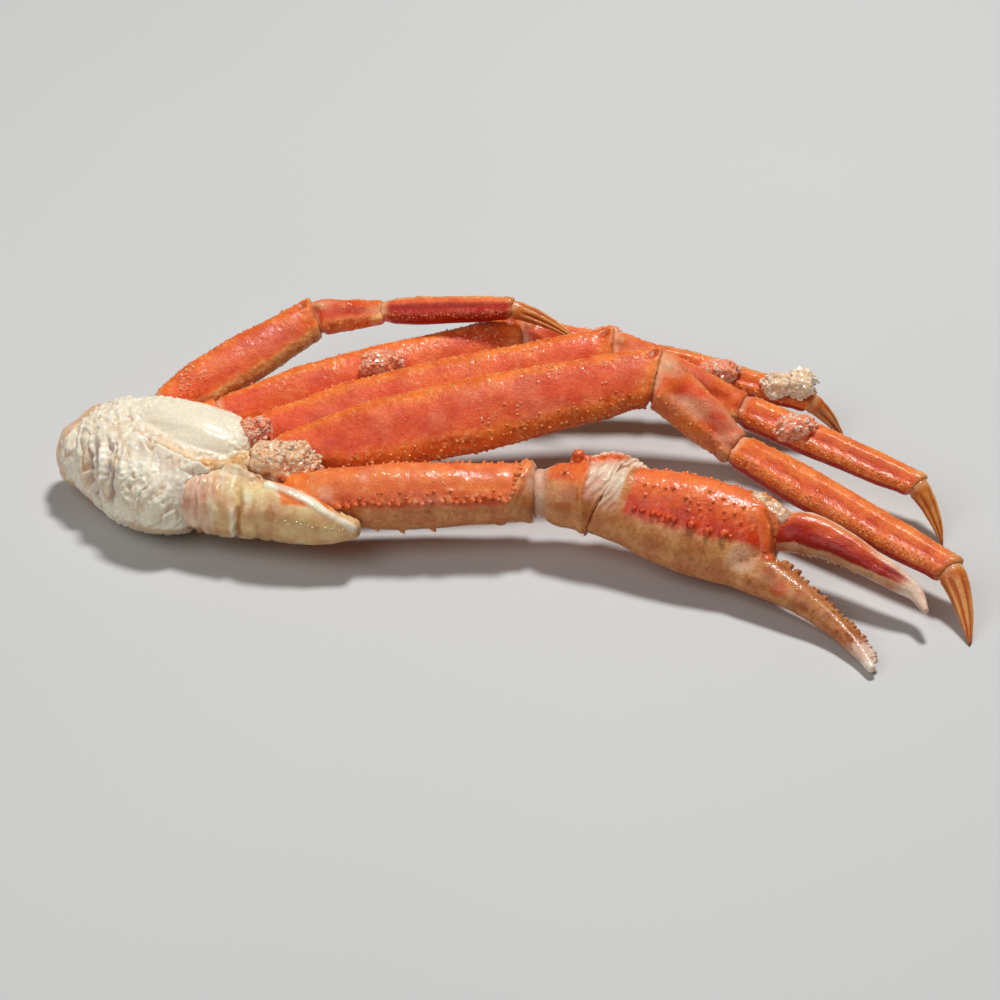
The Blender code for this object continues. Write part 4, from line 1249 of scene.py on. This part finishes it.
def palm_thorns(skin, length, lean):
    """Rows of points on the palm's orange part, and the large red knobs where it ends, as (run, size)."""
    points_row = [(12.6, 66), (15.8, 66), (17.7, 67), (19.5, 67), (24.2, 70), (26.8, 71), (28.6, 73), (31.4, 74),
                  (35.3, 76), (35.7, 66), (39.9, 74), (42.0, 60), (43.1, 72), (45.2, 60), (22.0, 63), (38.0, 57),
                  (33.0, 52)]
    clean = {"cream": 0, "deep": 0, "stain": 0}
    lines = [
        (thorn_line(6, length * 0.9, (8, 10), 2.4, 510, sway=5), (0.5, 0.58), 1.7, {"raised": 0.8}),
        (thorn_line(9, length * 0.9, (22, 26), 4.5, 514, sway=8), (0.4, 0.4), 1.6, {"raised": 0.6}),
        (points_row, (0.52, 0.60), 1.7, {"raised": 0.12, "pale": 0} | clean),
        (thorn_line(14, length * 0.86, (86, 88), 3.6, 513, sway=9), (0.45, 0.45), 1.6, {"raised": 0.25}),
    ]
    skin = thorny(skin, lines, lean, 520, 0.25, lift=0.35, reach=2.4)
    knobs = [(11.8, 0.7), (14.5, 0.8), (18.4, 1.0), (20.2, 0.8), (23.6, 1.1), (25.6, 0.9), (31.3, 1.4), (37.0, 1.15),
             (41.8, 1.25), (44.4, 0.6)]
    lines = [([(run, 97)], (size * 0.95, size), 1.9, {"sides": 14, "raised": 0.15} | clean) for run, size in knobs]
    return thorny(skin, lines, lean, 540, 0, lift=0.5, reach=2.0)


def finger_teeth(skin, places, rows, turns, count, angle, seed, largest):
    """A row of small uneven teeth along the biting edge of a finger, which leans over them like a saw."""
    rng = np.random.default_rng(seed)
    rings = [r for r in rows if r["run"] >= 0 and r["rest"] >= 0]
    last = len(places) - 1
    spots = []
    for k in range(count):
        turn = turns[0] + (turns[1] - turns[0]) * (k + 0.3 * rng.uniform(-1, 1)) / count
        ring = rings[int(turn / last * (len(rings) - 1))]
        lift = math.radians(angle + rng.uniform(-6, 6))
        spot = (ring["centre"] + ring["wide"] * (ring["width"] * math.cos(lift))
                + ring["normal"] * (ring["depth"] * math.sin(lift)))
        index = np.argmin(np.linalg.norm(skin.points - spot, axis=1))
        size = largest * (0.45 + 0.55 * rng.random())
        spots.append((index, size, 0.85 * size))
    lean = unit(rings[-1]["centre"] - rings[0]["centre"]) * 0.5
    swell(skin, spots, 0.5, 1.8)
    return thorns(skin, spots, lean, 1.4, stain=0.75)


def moving_finger(paint):
    """The claw's upper finger: red, orange above, cream below, with a long groove and a white tip."""
    rows = sweep_rows(MOVING_FINGER, MOVING_FINGER_SIZES, PALM_FACE, ends=(0.9, 0.6))
    skin = tube(rows)
    points = skin.points
    share = skin.run / skin.run[skin.rest >= 0].max()
    edge = wavering(skin, 600, (7, 5.0), (4, 1.2))
    lower_edge = 122 + 12 * rise(share, 0.1, 0.3) - 28 * rise(share, 0.42, 0.75)
    cream = rise(edge, lower_edge, lower_edge + 9) * (1 - rise(edge, 270, 300))
    upper = band(edge, 14, 32, 20)
    tip = rise(share + 0.03 * noise(points, 3.0, 602), 0.66, 0.86)
    rest = 1 - tip
    fine = granules(points, 0.9, 603, 0.6)
    low = rise(edge, lower_edge - 60, lower_edge - 30) * (1 - cream) * rest
    streaks = (1 - upper) * blotches(points, (8.0, 3.0, 3.0), 607, -0.3, 0.4)
    # sheen: a painted highlight along the upper edge, laid on as pale
    sheen = band(edge, 40, 16, 16) * rise(share, 0.48, 0.66) + 0.8 * band(edge, 10, 14, 14) * rise(share, 0.04, 0.15)
    skin.tint(cream=cream + 0.45 * upper, ridge=0.55 * (1 - upper), raised=0.3 * fine * upper + 0.35 * cream,
              deep=np.clip(0.95 * low + 0.35 * streaks, 0, 1) * rest,
              pale=tip * (0.95 + 0.15 * noise(points, 3.0, 606)) + 0.8 * sheen + 0.3 * cream,
              stain=(0.35 * cream * blotches(points, 3.0, 604, 0.0, 0.5) + 0.2 * band(edge, 150, 10, 20)) * rest)
    groove = band(edge, 84, 3, 14) * rise(share, 0.1, 0.25) * rest
    skin.push(0.1 * fine * upper - 0.4 * groove + 0.3 * noise(points, 6.0, 605))
    skin = finger_teeth(skin, MOVING_FINGER, rows, (1.1, 3.4), 9, 182, 610, 0.85)
    place("claw_moving_finger_skin", skin, paint["claw"], ["claw_moving_finger"])


def claw_root(merus_rows, paint):
    """The arm's first two segments in one skin: pink thin folds by the meat, cream ribs, and the crested scoop."""
    coxa = sweep_rows(CLAW_COXA, [(9.8, 9.8), (10.4, 10.4), (10.0, 9.8)], LEG_FACE, ends=(0.8, 0.1))
    scoop = sweep_rows(CLAW_ISCHIUM, [(9.6, 10.0), (8.7, 9.4), (6.4, 7.2), (3.2, 4.0)], LEG_FACE, ends=(0.25, 0.6))
    bridge = sweep_rows(CLAW_BRIDGE, [(10.4, 10.2), (9.8, 10.0), (9.2, 9.7)], LEG_FACE, ends=(0.4, 0.4))
    lumps = [lump([(x - 2, y + 0.5, z), (x, y, z + 0.5), (x + 2, y - 0.5, z)], (size, size * 0.8), LEG_FACE)
             for x, y, z, size in ((-90, -20.5, 26, 3.2), (-85, -22, 26.5, 2.8), (-79.5, -25.5, 26, 2.6))]
    skin = merged("claw_root", [tube(rows) for rows in (coxa, scoop, bridge)] + lumps)
    skin.points, hidden = kept_clear(skin.points, merus_rows, ROOT_CLEARANCE)
    start, end = (np.array(CLAW_ISCHIUM[k], float) for k in (0, -1))
    share, angle = local_to(skin.points, start, end, LEG_FACE, 8.5, 9.0)
    skin.values.update(run=share * 31, angle=angle)
    dress_root(skin, hidden)
    skin.on_table(0.1)
    bumps = thorn_line(8, 29, (128, 122), 1.9, 713, sway=6)
    skin = thorny(skin, [(bumps, (0.36, 0.46), 1.8, {"raised": 0.2})], (0.3, 0, 0), 714, 0.3)
    place("claw_root_skin", skin, paint["cream"], ["claw_coxa", "claw_ischium"])


def root_creases(points, warp):
    """Creases round the root, each (place along it, depth, width); all but the deep one fade in and out."""
    creases = [(-101.8, 0.5, 0.9), (-99.1, 0.4, 0.5), (-95.4, 0.9, 0.9), (-92.7, 0.4, 0.5), (-90.2, 0.7, 0.6),
               (-84.2, 1.5, 0.8), (-77.6, 0.7, 1.0), (-73.2, 0.5, 0.8)]
    total = 0
    for k, (at, depth, width) in enumerate(creases):
        fade = 1 if depth > 1.2 else rise(noise(points, (40.0, 7.0, 7.0), 720 + k, 2), -0.45, 0.15)
        total = total + depth * fade * bell(warp, at, width)
    return total


def dress_root(skin, hidden):
    """Each feature of the claw's root at its own place; what is hidden in the next segment gets no relief."""
    points = skin.points
    x, y, z = points.T
    high, front = up_front(points), rise(-y, 22, 28)
    warp = x + 1.6 * noise(points, (9.0, 6.0, 6.0), 700) - 0.06 * (z - 17)
    crease = root_creases(points, warp) * front
    lip = bell(warp, -85.7, 0.7) * front * rise(z, 8, 13) * (1 - rise(z, 21, 24))
    crest = near_line(points, [(-74, -30.5, 28.8)] + ISCHIUM_CREST, 3.2)
    back = beside_line(points, [(-78, -29.5, 28.5)] + ISCHIUM_CREST, (0.35, 0.9, 0.35))
    triangle = inside(points, [(-71.5, -31.0, 28.0), (-70.0, -38.0, 25.6), (-57.5, -37.8, 23.6)], 0.7)
    orange = rise(back + noise(points, 3.0, 707), 1.6, 3.4) * rise(x, -75, -71) * (1 - rise(x, -56, -51))
    orange = np.maximum(triangle * (1 - rise(crest, 0.5, 0.8)), orange)
    thin = 1 - rise(x + 1.5 * noise(points, 5.0, 702), -96.5, -89.5)
    streak = noise(points, (1.0, 12.0, 12.0), 703)
    lumpy = near_line(points, [(-93, -20, 27), (-86, -22, 27.5), (-78, -25, 27)], 6)
    # painted shade: lower darkens the root and takes cream from it towards the bottom
    lower = 1 - rise(high + 1.5 * noise(points, 6.0, 706), -8, 5)
    # edge_line: a groove, darkened with stain as painted shade
    edge_line = near_line(points, [(-95, -19, 28), (-88, -19, 29.5), (-80, -22.5, 29), (-76, -26.5, 28.5)], 1.6)
    # painted shade: under darkens a spot at the bottom by the table
    under = near(points, (-99.5, -31, 9.5), (6, 6, 3.6))
    fan = (x + 97) * (1 + 0.03 * (high - 4)) + 2.6 * noise(points, (5.0, 8.0, 8.0), 715)
    fold = (1 - np.abs(np.sin(fan * 1.1)) ** 0.7) * blotches(points, (5.0, 10.0, 10.0), 716, -0.5, 0.2)
    ribs = rise(streak, 0.0, 0.5) * (1 - lower) * (1 - 0.5 * thin) * (1 - rise(x, -80, -72))
    # raised: whiter along the real lip and crest, which is also a painted highlight on them, and lighter towards the
    # top as painted light
    raised = 0.85 * rise(crest, 0.10, 0.75) + 0.9 * lip + 0.55 * ribs + 0.3 * rise(high, 4, 9) * (1 - thin)
    between_folds = thin * (1 - rise(fold, 0.1, 0.5)) * rise(streak, -0.5, 0.2)
    # painted shade: deep and stain also darken the creases
    deep = 0.7 * lumpy * blotches(points, 2.5, 704, -0.1, 0.4) + (0.5 * crease + 0.38 * lower) * (1 - thin)
    cream = np.clip(0.3 + 0.6 * streak + 0.3 * front * (1 - thin), 0, 1) * (1 - 0.6 * lower)
    skin.tint(ridge=orange, cream=cream * (1 - orange), deep=np.clip(deep, 0, 1) * (1 - orange),
              raised=np.clip(raised, 0, 1) * (1 - orange) + 0.6 * between_folds,
              pale=np.clip(thin * (0.75 + 0.5 * streak), 0, 1) * (0.65 + 0.5 * fold),
              stain=0.7 * edge_line + 0.8 * under + 0.25 * crease * thin + 0.35 * bell(warp, -84.2, 0.5) * front)
    relief = 0.35 * noise(points, (1.8, 9.0, 9.0), 701) * thin + 0.6 * noise(points, 6.0, 712) - 0.75 * fold * thin
    skin.push((relief - crease + lip + 0.7 * rise(crest, 0.0, 0.9) - 0.9 * edge_line
               + lumpy * 1.1 * noise(points, 3.0, 705)) * ~hidden)


# ---------------------------------------------------------------- the shoulder


# Features of the cut body as spots (strength, middle, size).
MEAT_SPOTS = {
    "hollow": [(1.6, (-131.8, -9, 19.0), (3.6, 14, 12)), (1.6, (-126.3, -14, 21), (4.6, 15, 13))],
    "rim": [(1, (-129.1, -11, 21), (1.2, 12, 12)), (1, (-121.6, -17, 24), (1.4, 10, 10))],
    "amber": [(1, (-123.8, -16, 25.5), (1.7, 6, 6)), (0.8, (-135, -8, 17), (2.6, 8, 8))],
    "pits": [(1.4, (-123.5, -22, 20.5), (2.4, 3.4, 3.4)), (1, (-119, -25.5, 23.5), (1.5, 2, 1.7)),
             (1, (-118.0, -27, 21.4), (1.4, 2, 1.5)), (1, (-119, -27.5, 19.2), (1.3, 2, 1.3))],
    "membrane": [(1, (-103.5, -28.5, 20), (5, 6, 10))],
    # base: the bottom band, painted tan and darker as painted shade
    "base": [(1, (-111, -29.5, 8.5), (19, 10, 5.5))],
    "white_spot": [(1, (-104.3, -25.7, 25.8), (2.0, 2.0, 2.0))],
    "bright": [(1, (-99, -23.0, 27), (6, 4, 4))],
    "crown": [(1, (-128, 3, 29), (10, 10, 8))],
    "left": [(1, (-139, -5, 14), (6, 12, 10))],
    "dark": [(1, (-94.5, -21, 27.6), (3.6, 2.2, 2.2))],
    "tan_edge": [(1, (-134, 12.5, 24), (8, 5, 5))],
    "tan_spot": [(1, (-104, -20.5, 28.5), (4, 3, 3))],
}


def shoulder(paint):
    """The cut half body in one skin: flaky meat with fibrous hollows, and the smooth lobe over it."""
    places, sizes = [s[:3] for s in BODY_STATIONS], [(w + BODY_GROW, h + BODY_GROW) for *_, w, h in BODY_STATIONS]
    body = sweep_rows(places, sizes, UP, (0.6, 0.5), np.array((1.0, 0, 0)), BODY_GRID)
    lobe_rows = sweep_rows(LOBE, LOBE_SIZES, UP)
    skins = [tube(rows, BODY_GRID) for rows in (body, lobe_rows, sweep_rows(SADDLE, SADDLE_SIZES, UP))]
    for middle, half in BODY_LUMPS:
        middle, span = np.array(middle, float), np.array((half[0] * 0.5, 0, 0))
        skins.append(lump([middle - span, middle, middle + span], half[1:], UP, (1, 1), BODY_GRID))
    skin = merged("shoulder_meat", skins)
    dress_meat(skin, lobe_rows)
    skin.on_table(0.1)
    place("shoulder_meat_skin", skin, paint["meat"], ["shoulder_meat", "shoulder_lobe"])


def meat_marks(points, lobe_rows):
    """Where each feature of the cut body lies, from 0 to 1."""
    x, y, _ = points.T
    front = up_front(points)
    at = SimpleNamespace(**{name: sum(share * near(points, spot, size) for share, spot, size in spots)
                            for name, spots in MEAT_SPOTS.items()})
    at.lobe = ((1 - rise(reach_in(points, lobe_rows)[0], 1.02, 1.16))
               * rise(x + 0.5 * y + 3 * noise(points, 5.0, 809), -125, -112))
    meat = 1 - at.lobe
    beyond = beside_line(points, FLAP_LINE, (0.25, -0.85, -0.45))
    along_flap = rise(x, -119, -115) * (1 - rise(x, -97, -92))
    at.flap = along_flap * rise(beyond, -0.2, 0.3) * (1 - rise(beyond, 0.4, 6.0))
    # seam: the groove under the lobe's edge, darkened later as a painted shadow line
    at.flap_edge, at.seam = along_flap * bell(beyond, 0.5, 0.7), along_flap * bell(beyond, -0.7, 0.7)
    # glow: the strip under the lobe's edge, painted tan as a painted glow of light through the lobe
    at.glow = (rise(x, -113, -108) * (1 - rise(x, -94, -90))
               * rise(beyond, -5.5, -3.0) * (1 - rise(beyond, -1.2, 0.0)))
    at.notch = inside(points, [(-117.0, -9.6, 31.2), (-110.9, -13.7, 30.8), (-112.6, -16.6, 30.2)], 0.5)
    at.honey = near_line(points, [(-96, -20.5, 28), (-89, -19.5, 28.5), (-82, -16, 28.5)], 3.4)
    at.clear = near_line(points, [(-116, -16.0, 29.5), (-109, -20, 28.5), (-106.5, -25, 26.5)], 5.0) * meat
    at.brink = rise(x, -103.5, -98.5) * meat * (1 - rise(front, 8, 11))
    at.lower = rise(x, -127, -120) * (1 - rise(front, 5, 11))
    at.hollow = np.clip(at.hollow, 0, 1)
    at.membrane, at.crown = at.membrane * meat, at.crown * meat
    at.calm = np.clip(1 - 0.8 * at.clear - at.membrane - at.base - 0.9 * at.glow, 0, 1) * meat
    return at


def turned(points, cosine, sine):
    """Points turned about the third axis."""
    x, y, z = points.T
    return np.column_stack([x * cosine + y * sine, y * cosine - x * sine, z])


def dress_meat(skin, lobe_rows):
    """Gives the cut body its colours and relief: torn sheets, fibres and flakes, and long folds on the lobe."""
    points = skin.points
    x, y, z = points.T
    at = meat_marks(points, lobe_rows)
    own = np.column_stack([x, up_front(points), -FRONT_SLOPE[1] * y + FRONT_SLOPE[0] * z])
    warped = own + 1.6 * np.column_stack([noise(points, 6.0, 840 + k, 2) for k in range(3)])
    fibres = noise(warped, (1.5, 8.0, 5.0), 810, 2)
    strips = noise(warped, (4.5, 10.0, 7.0), 812, 2)
    slopes = noise(turned(warped, 0.77, 0.64), (9.0, 4.5, 6.0), 813, 3)
    chunks = noise(warped, (6.0, 6.0, 6.0), 814, 3)
    torn = sheets(strips, 3) * (1 - at.lower) + sheets(slopes, 4) * at.lower
    torn = torn * (1 - at.crown) + sheets(chunks, 4) * at.crown
    round_parts = granules(warped, 2.2, 815, 0.8)
    fine = noise(points, 1.2, 816, 2)
    # low_place: the low parts between torn sheets, painted darker and greyer as painted shade
    low_place = at.calm * (1 - rise(torn, 0.02, 0.3))
    long_folds = noise(turned(points, 0.94, -0.34), (16.0, 3.6, 5.0), 817, 2)
    far_edge = np.clip(band(np.degrees(np.arctan2(z - 25, y + 3)), 38, 14, 14) + rise(x, -90, -84), 0, 1) * at.lobe

    raised = (0.55 * at.calm * rise(torn, 0.45, 0.8) + 0.9 * at.flap_edge + 0.5 * at.bright + at.white_spot
              + 0.3 * at.crown * rise(round_parts, 0.4, 0.9) + 0.8 * at.rim + 0.35 * at.left)
    # painted shade: pale greys the fibre grooves of the hollows and the low places
    pale = (0.9 * at.hollow * rise(-fibres, -0.35, 0.25) + 0.35 * at.clear * rise(strips, -0.3, 0.4)
            + 0.6 * at.membrane * blotches(warped, (1.4, 8, 8), 818, -0.4, 0.3) + 0.25 * low_place)
    # cream: painted glow under the lobe's edge, honey and amber colour, and tan as painted shade on the bottom band and
    # in the low places
    cream = (0.45 * at.glow + 0.9 * at.honey + 0.40 * at.base + 0.36 * low_place + 0.75 * at.amber
             + 0.30 * at.left * rise(strips, -0.2, 0.4) + 0.6 * at.tan_edge * rise(chunks, -0.5, 0.2)
             + 0.25 * at.tan_spot)
    # painted shade: stain darkens the pits, the seam, the notch, the dark hole, the bottom band, the honey lumps' low
    # spots and the low places
    stain = (0.45 * at.pits + 0.35 * at.seam + 0.55 * at.notch + 0.9 * at.dark + 0.12 * at.base
             + 0.6 * at.honey * rise(-fine, -0.1, 0.4) + 0.22 * low_place * rise(-fine, -0.1, 0.3))
    skin.tint(ridge=at.lobe + 0.5 * at.calm * rise(torn, 0.2, 0.7) + 0.4 * at.base, cream=cream, stain=stain,
              raised=np.clip(raised, 0, 1) * (1 - 0.8 * at.honey), pale=np.clip(pale, 0, 1) * (1 - at.lobe))

    flakes = 1.05 * torn + 0.7 * round_parts * (0.2 + 0.8 * at.crown) + 0.5 * fine + 0.5 * slopes + 0.35 * fibres
    hollows = at.hollow * (1.4 + 2.4 * rise(-fibres, -0.3, 0.3)) + 2.4 * at.pits + 1.6 * at.seam + 1.5 * at.notch
    ridges = 1.1 * at.flap + 0.5 * at.flap_edge + at.rim + at.white_spot + 0.3 * at.bright * (0.5 + fine)
    smooth_part = at.lobe * (0.55 * long_folds + 0.06 * fine) + far_edge * (0.9 * sheets(chunks, 5) + 0.25 * fine)
    skin.push(at.calm * flakes - hollows + ridges + smooth_part + 0.4 * at.clear * strips - 0.8 * at.dark
              - 1.6 * at.brink)


def shoulder_shell(paint):
    """The thin shell tray under and behind the meat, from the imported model's own form, drawn in at its open edge."""
    skin = merged("shoulder_shell", [skin_of(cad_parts["shoulder_shell"].data)])
    points = skin.points
    behind_opening = (points - np.array((-112.0, -20.0, 3.0))) @ unit(np.array((0, 0.62, -0.78)))
    edge = 1 - rise(behind_opening, 1.0, 6.0)
    inward = units((np.array((-112.0, 0, 14)) - points) * np.array((0.5, 1, 1)))
    skin.points = points + inward * (2.2 * edge * (1 - 0.7 * near(points, (-140, 6, 21), (7, 9, 9))))[:, None]
    points = skin.points
    back = rise(points[:, 1], 10, 20)
    coarse = granules(points, 1.6, 820, 0.5)
    skin.tint(ridge=0.8 * back * blotches(points, 9.0, 821, -0.3, 0.3), raised=0.25 * coarse,
              pale=0.8 * (1 - back) * blotches(points, (3.0, 3.0, 1.2), 824, -0.4, 0.3),
              stain=0.20 * blotches(points, 5.0, 822, 0.0, 0.6))
    skin.push(0.16 * coarse + 0.25 * noise(points, 6.0, 823))
    skin.on_table(0.0)
    place("shoulder_shell_skin", skin, paint["cream"], ["shoulder_shell"])


# ---------------------------------------------------------------- ice and water


def ball_points():
    """The twelve points and twenty faces of an icosahedron."""
    long = (1 + math.sqrt(5)) / 2
    points = []
    for a, b in itertools.product((-1, 1), (-long, long)):
        points += [(0, a, b), (a, b, 0), (b, 0, a)]
    points = np.array(points) / math.hypot(1, long)
    faces = [c for c in itertools.combinations(range(12), 3)
             if all(np.linalg.norm(points[a] - points[b]) < 1.1 for a, b in itertools.combinations(c, 2))]
    turned = []
    for a, b, c in faces:
        outward = np.cross(points[b] - points[a], points[c] - points[a]) @ points[a] > 0
        turned.append((a, b, c, -1) if outward else (a, c, b, -1))
    return points, np.array(turned)


def turned_axes(rng, count):
    """Random turns as one 3x3 matrix each."""
    first = units(rng.standard_normal((count, 3)))
    second = units(np.cross(first, rng.standard_normal((count, 3))))
    return np.stack([first, second, np.cross(first, second)], axis=1)


def ice_grains(middles, sizes, seed):
    """Broken grains of ice as one skin with flat faces."""
    rng = np.random.default_rng(seed)
    ball, faces = ball_points()
    count = len(middles)
    shape = ball[None] * rng.uniform(0.55, 1.3, (count, 12))[..., None] * rng.uniform(0.5, 1.25, (count, 1, 3))
    shape = np.einsum("nij,njk->nik", shape, turned_axes(rng, count)) * sizes[:, None, None]
    return islands(middles[:, None] + shape, faces)


def ice_clump(name, number, paint):
    """A clump of crushed ice: broken grains thickly set on and in a lumpy core."""
    middle, half, tint = ICE_CLUMPS[name]
    middle, half = np.array(middle, float), np.array(half, float)

    def outline(points):
        return 1 + 0.55 * noise(points, 6.0, 900 + number, 2)

    rng = np.random.default_rng(900 + number)
    count = int(half[0] * half[1] * 8)
    way = units(rng.standard_normal((count, 3)))
    depth = rng.uniform(0.64, 0.92, count) * np.minimum(outline(middle + way * half), 1.12)
    grains = ice_grains(middle + way * depth[:, None] * half, 0.5 + 0.9 * rng.random(count) ** 2.0, 910 + number)

    core_half = half * 0.9
    span = np.array((core_half[0] - core_half[1], 0, 0))
    core = lump([middle - span, middle, middle + span], tuple(core_half[1:]), UP, (1, 1), ICE_GRID)
    core.points = middle + (core.points - middle) * np.clip(outline(core.points), 0.5, 1.08)[:, None]
    core.push(0.8 * noise(core.points, 1.5, 930 + number, 2) + 0.6 * granules(core.points, 1.6, 940 + number, 0.6))
    place(f"{name}_grains", grains, paint[f"{tint}_grains"], [name], smooth=False)
    place(f"{name}_core", core, paint[tint], [name], smooth=False)


def drops(paint):
    """Beads of meltwater and crumbs of ice that cling to the shells, thickest near the knees."""
    rng = np.random.default_rng(950)
    beads, crumbs = [], []
    for name, count, runs, angles, size in WET_AREAS:
        skin = DRESSED[name]
        in_area = (skin.run > runs[0]) & (skin.run < runs[1]) & (skin.angle > angles[0]) & (skin.angle < angles[1])
        thick = noise(skin.points, 7.0, 951) + rng.uniform(-0.25, 0.25, len(skin.points))
        order = np.flatnonzero(in_area)
        order = order[np.argsort(-thick[order])][:max(len(order) // 4, count)]
        chosen = rng.choice(order, min(count, len(order)), replace=False)
        sizes = size * rng.uniform(0.5, 1.35, len(chosen))
        spots, normals = skin.points[chosen], skin.normals()[chosen]
        some = len(chosen) * 2 // 3 if name.startswith(("leg_3", "leg_4_merus")) else len(chosen)
        beads.append((spots[:some], normals[:some], sizes[:some]))
        crumbs.append((spots[some:] + normals[some:] * 0.15, sizes[some:]))
    middles, normals, sizes = (np.concatenate(part) for part in zip(*beads))
    # the water's red is the shell under it painted in as if seen through the drop
    place("water_beads", water_beads(middles, normals, sizes), paint["water"], [])
    middles, sizes = (np.concatenate(part) for part in zip(*crumbs))
    place("ice_crumbs", ice_grains(middles, sizes * 0.9, 953), paint["ice_crumbs"], [], smooth=False)


def water_beads(middles, normals, sizes):
    """Flattened drops of water on a surface, a little uneven, as one skin."""
    rng = np.random.default_rng(952)
    rings, sides, flatness = 3, 8, 0.62
    lift, turn = np.linspace(math.pi, 0, rings + 2)[1:-1], np.linspace(0, math.tau, sides, endpoint=False)
    ball = [(math.sin(a) * math.cos(t), math.sin(a) * math.sin(t), math.cos(a)) for a in lift for t in turn]
    ball = np.array(ball + [(0, 0, -1), (0, 0, 1)])
    side = units(np.cross(normals, (0.3, 0.2, 1.0)))
    axes = np.stack([side, np.cross(normals, side), normals], axis=1)
    one = np.ones(len(sizes))
    stretch = np.stack([rng.uniform(0.8, 1.3, len(sizes)), one, one * flatness], axis=1)
    shape = ball[None] * stretch[:, None] * sizes[:, None, None]
    return islands(middles[:, None] + np.einsum("nij,njk->nik", shape, axes), ring_faces(rings, sides))


# ---------------------------------------------------------------- table, light and camera


def table_and_light():
    """A plain pale floor, a soft lamp high above, a wide weaker one from the front, and weak light all round."""
    half = 6.0
    mesh = bpy.data.meshes.new("floor")
    mesh.from_pydata([(-half, -half, 0), (half, -half, 0), (half, half, 0), (-half, half, 0)], [], [(0, 1, 2, 3)])
    made, tree, surface = new_material("floor_grey", Roughness=0.7)
    tone = between(tree, noise_of(tree, 400.0, 2.0), 0.3, 0.7)
    tree.links.new(mixed(tree, tone, (0.60, 0.60, 0.59), (0.63, 0.63, 0.62)), surface.inputs["Base Color"])
    mesh.materials.append(made)
    floor = bpy.data.objects.new("floor", mesh)
    bpy.context.collection.objects.link(floor)
    soft_lamp("key", (0.15, 0.30, 0.94), size=0.26, strength=0.82)
    soft_lamp("fill", (-0.48, -0.46, 0.75), size=1.0, strength=0.28)

    world = bpy.data.worlds.new("studio")
    world.use_nodes = True
    sky = world.node_tree.nodes["Background"]
    sky.inputs["Color"].default_value = (1.0, 0.99, 0.98, 1.0)
    sky.inputs["Strength"].default_value = 0.08
    bpy.context.scene.world = world
    bpy.context.scene.view_settings.view_transform = "Standard"


def soft_lamp(name, towards, size, strength, distance=1.4):
    """A round lamp in a direction from the cluster; strength is the light that falls on what faces it."""
    lamp = bpy.data.lights.new(name, "AREA")
    lamp.shape = "DISK"
    lamp.size = size
    lamp.energy = math.pi ** 2 * distance ** 2 * strength
    aim(bpy.data.objects.new(name, lamp), unit(np.array(towards)) * distance, (0, 0, 0))


def aim(thing, place_at, target):
    """Puts a lamp or camera somewhere in metres, turned to a target."""
    bpy.context.collection.objects.link(thing)
    thing.location = place_at
    thing.rotation_euler = (Vector(place_at) - Vector(target)).to_track_quat("Z", "Y").to_euler()
    return thing


def camera():
    """The camera looks down at the cluster from the front, far off with a long lens."""
    tilt, distance = math.radians(CAMERA_TILT), 1452.0
    target = -TABLE_MIDDLE * MM
    spot = target + np.array((0, -math.cos(tilt), math.sin(tilt))) * distance * MM
    lens = bpy.data.cameras.new("camera")
    lens.sensor_width = 36.0
    lens.lens = 158.4
    bpy.context.scene.camera = aim(bpy.data.objects.new("camera", lens), spot, target)


def build():
    paint = paints()
    for number, name in enumerate(LEG_JOINTS):
        walking_leg(name, paint, 100 * number + 1000)
    claw_arm(paint)
    shoulder(paint)
    shoulder_shell(paint)
    for number, name in enumerate(ICE_CLUMPS):
        ice_clump(name, number, paint)
    drops(paint)
    table_and_light()
    camera()


build()
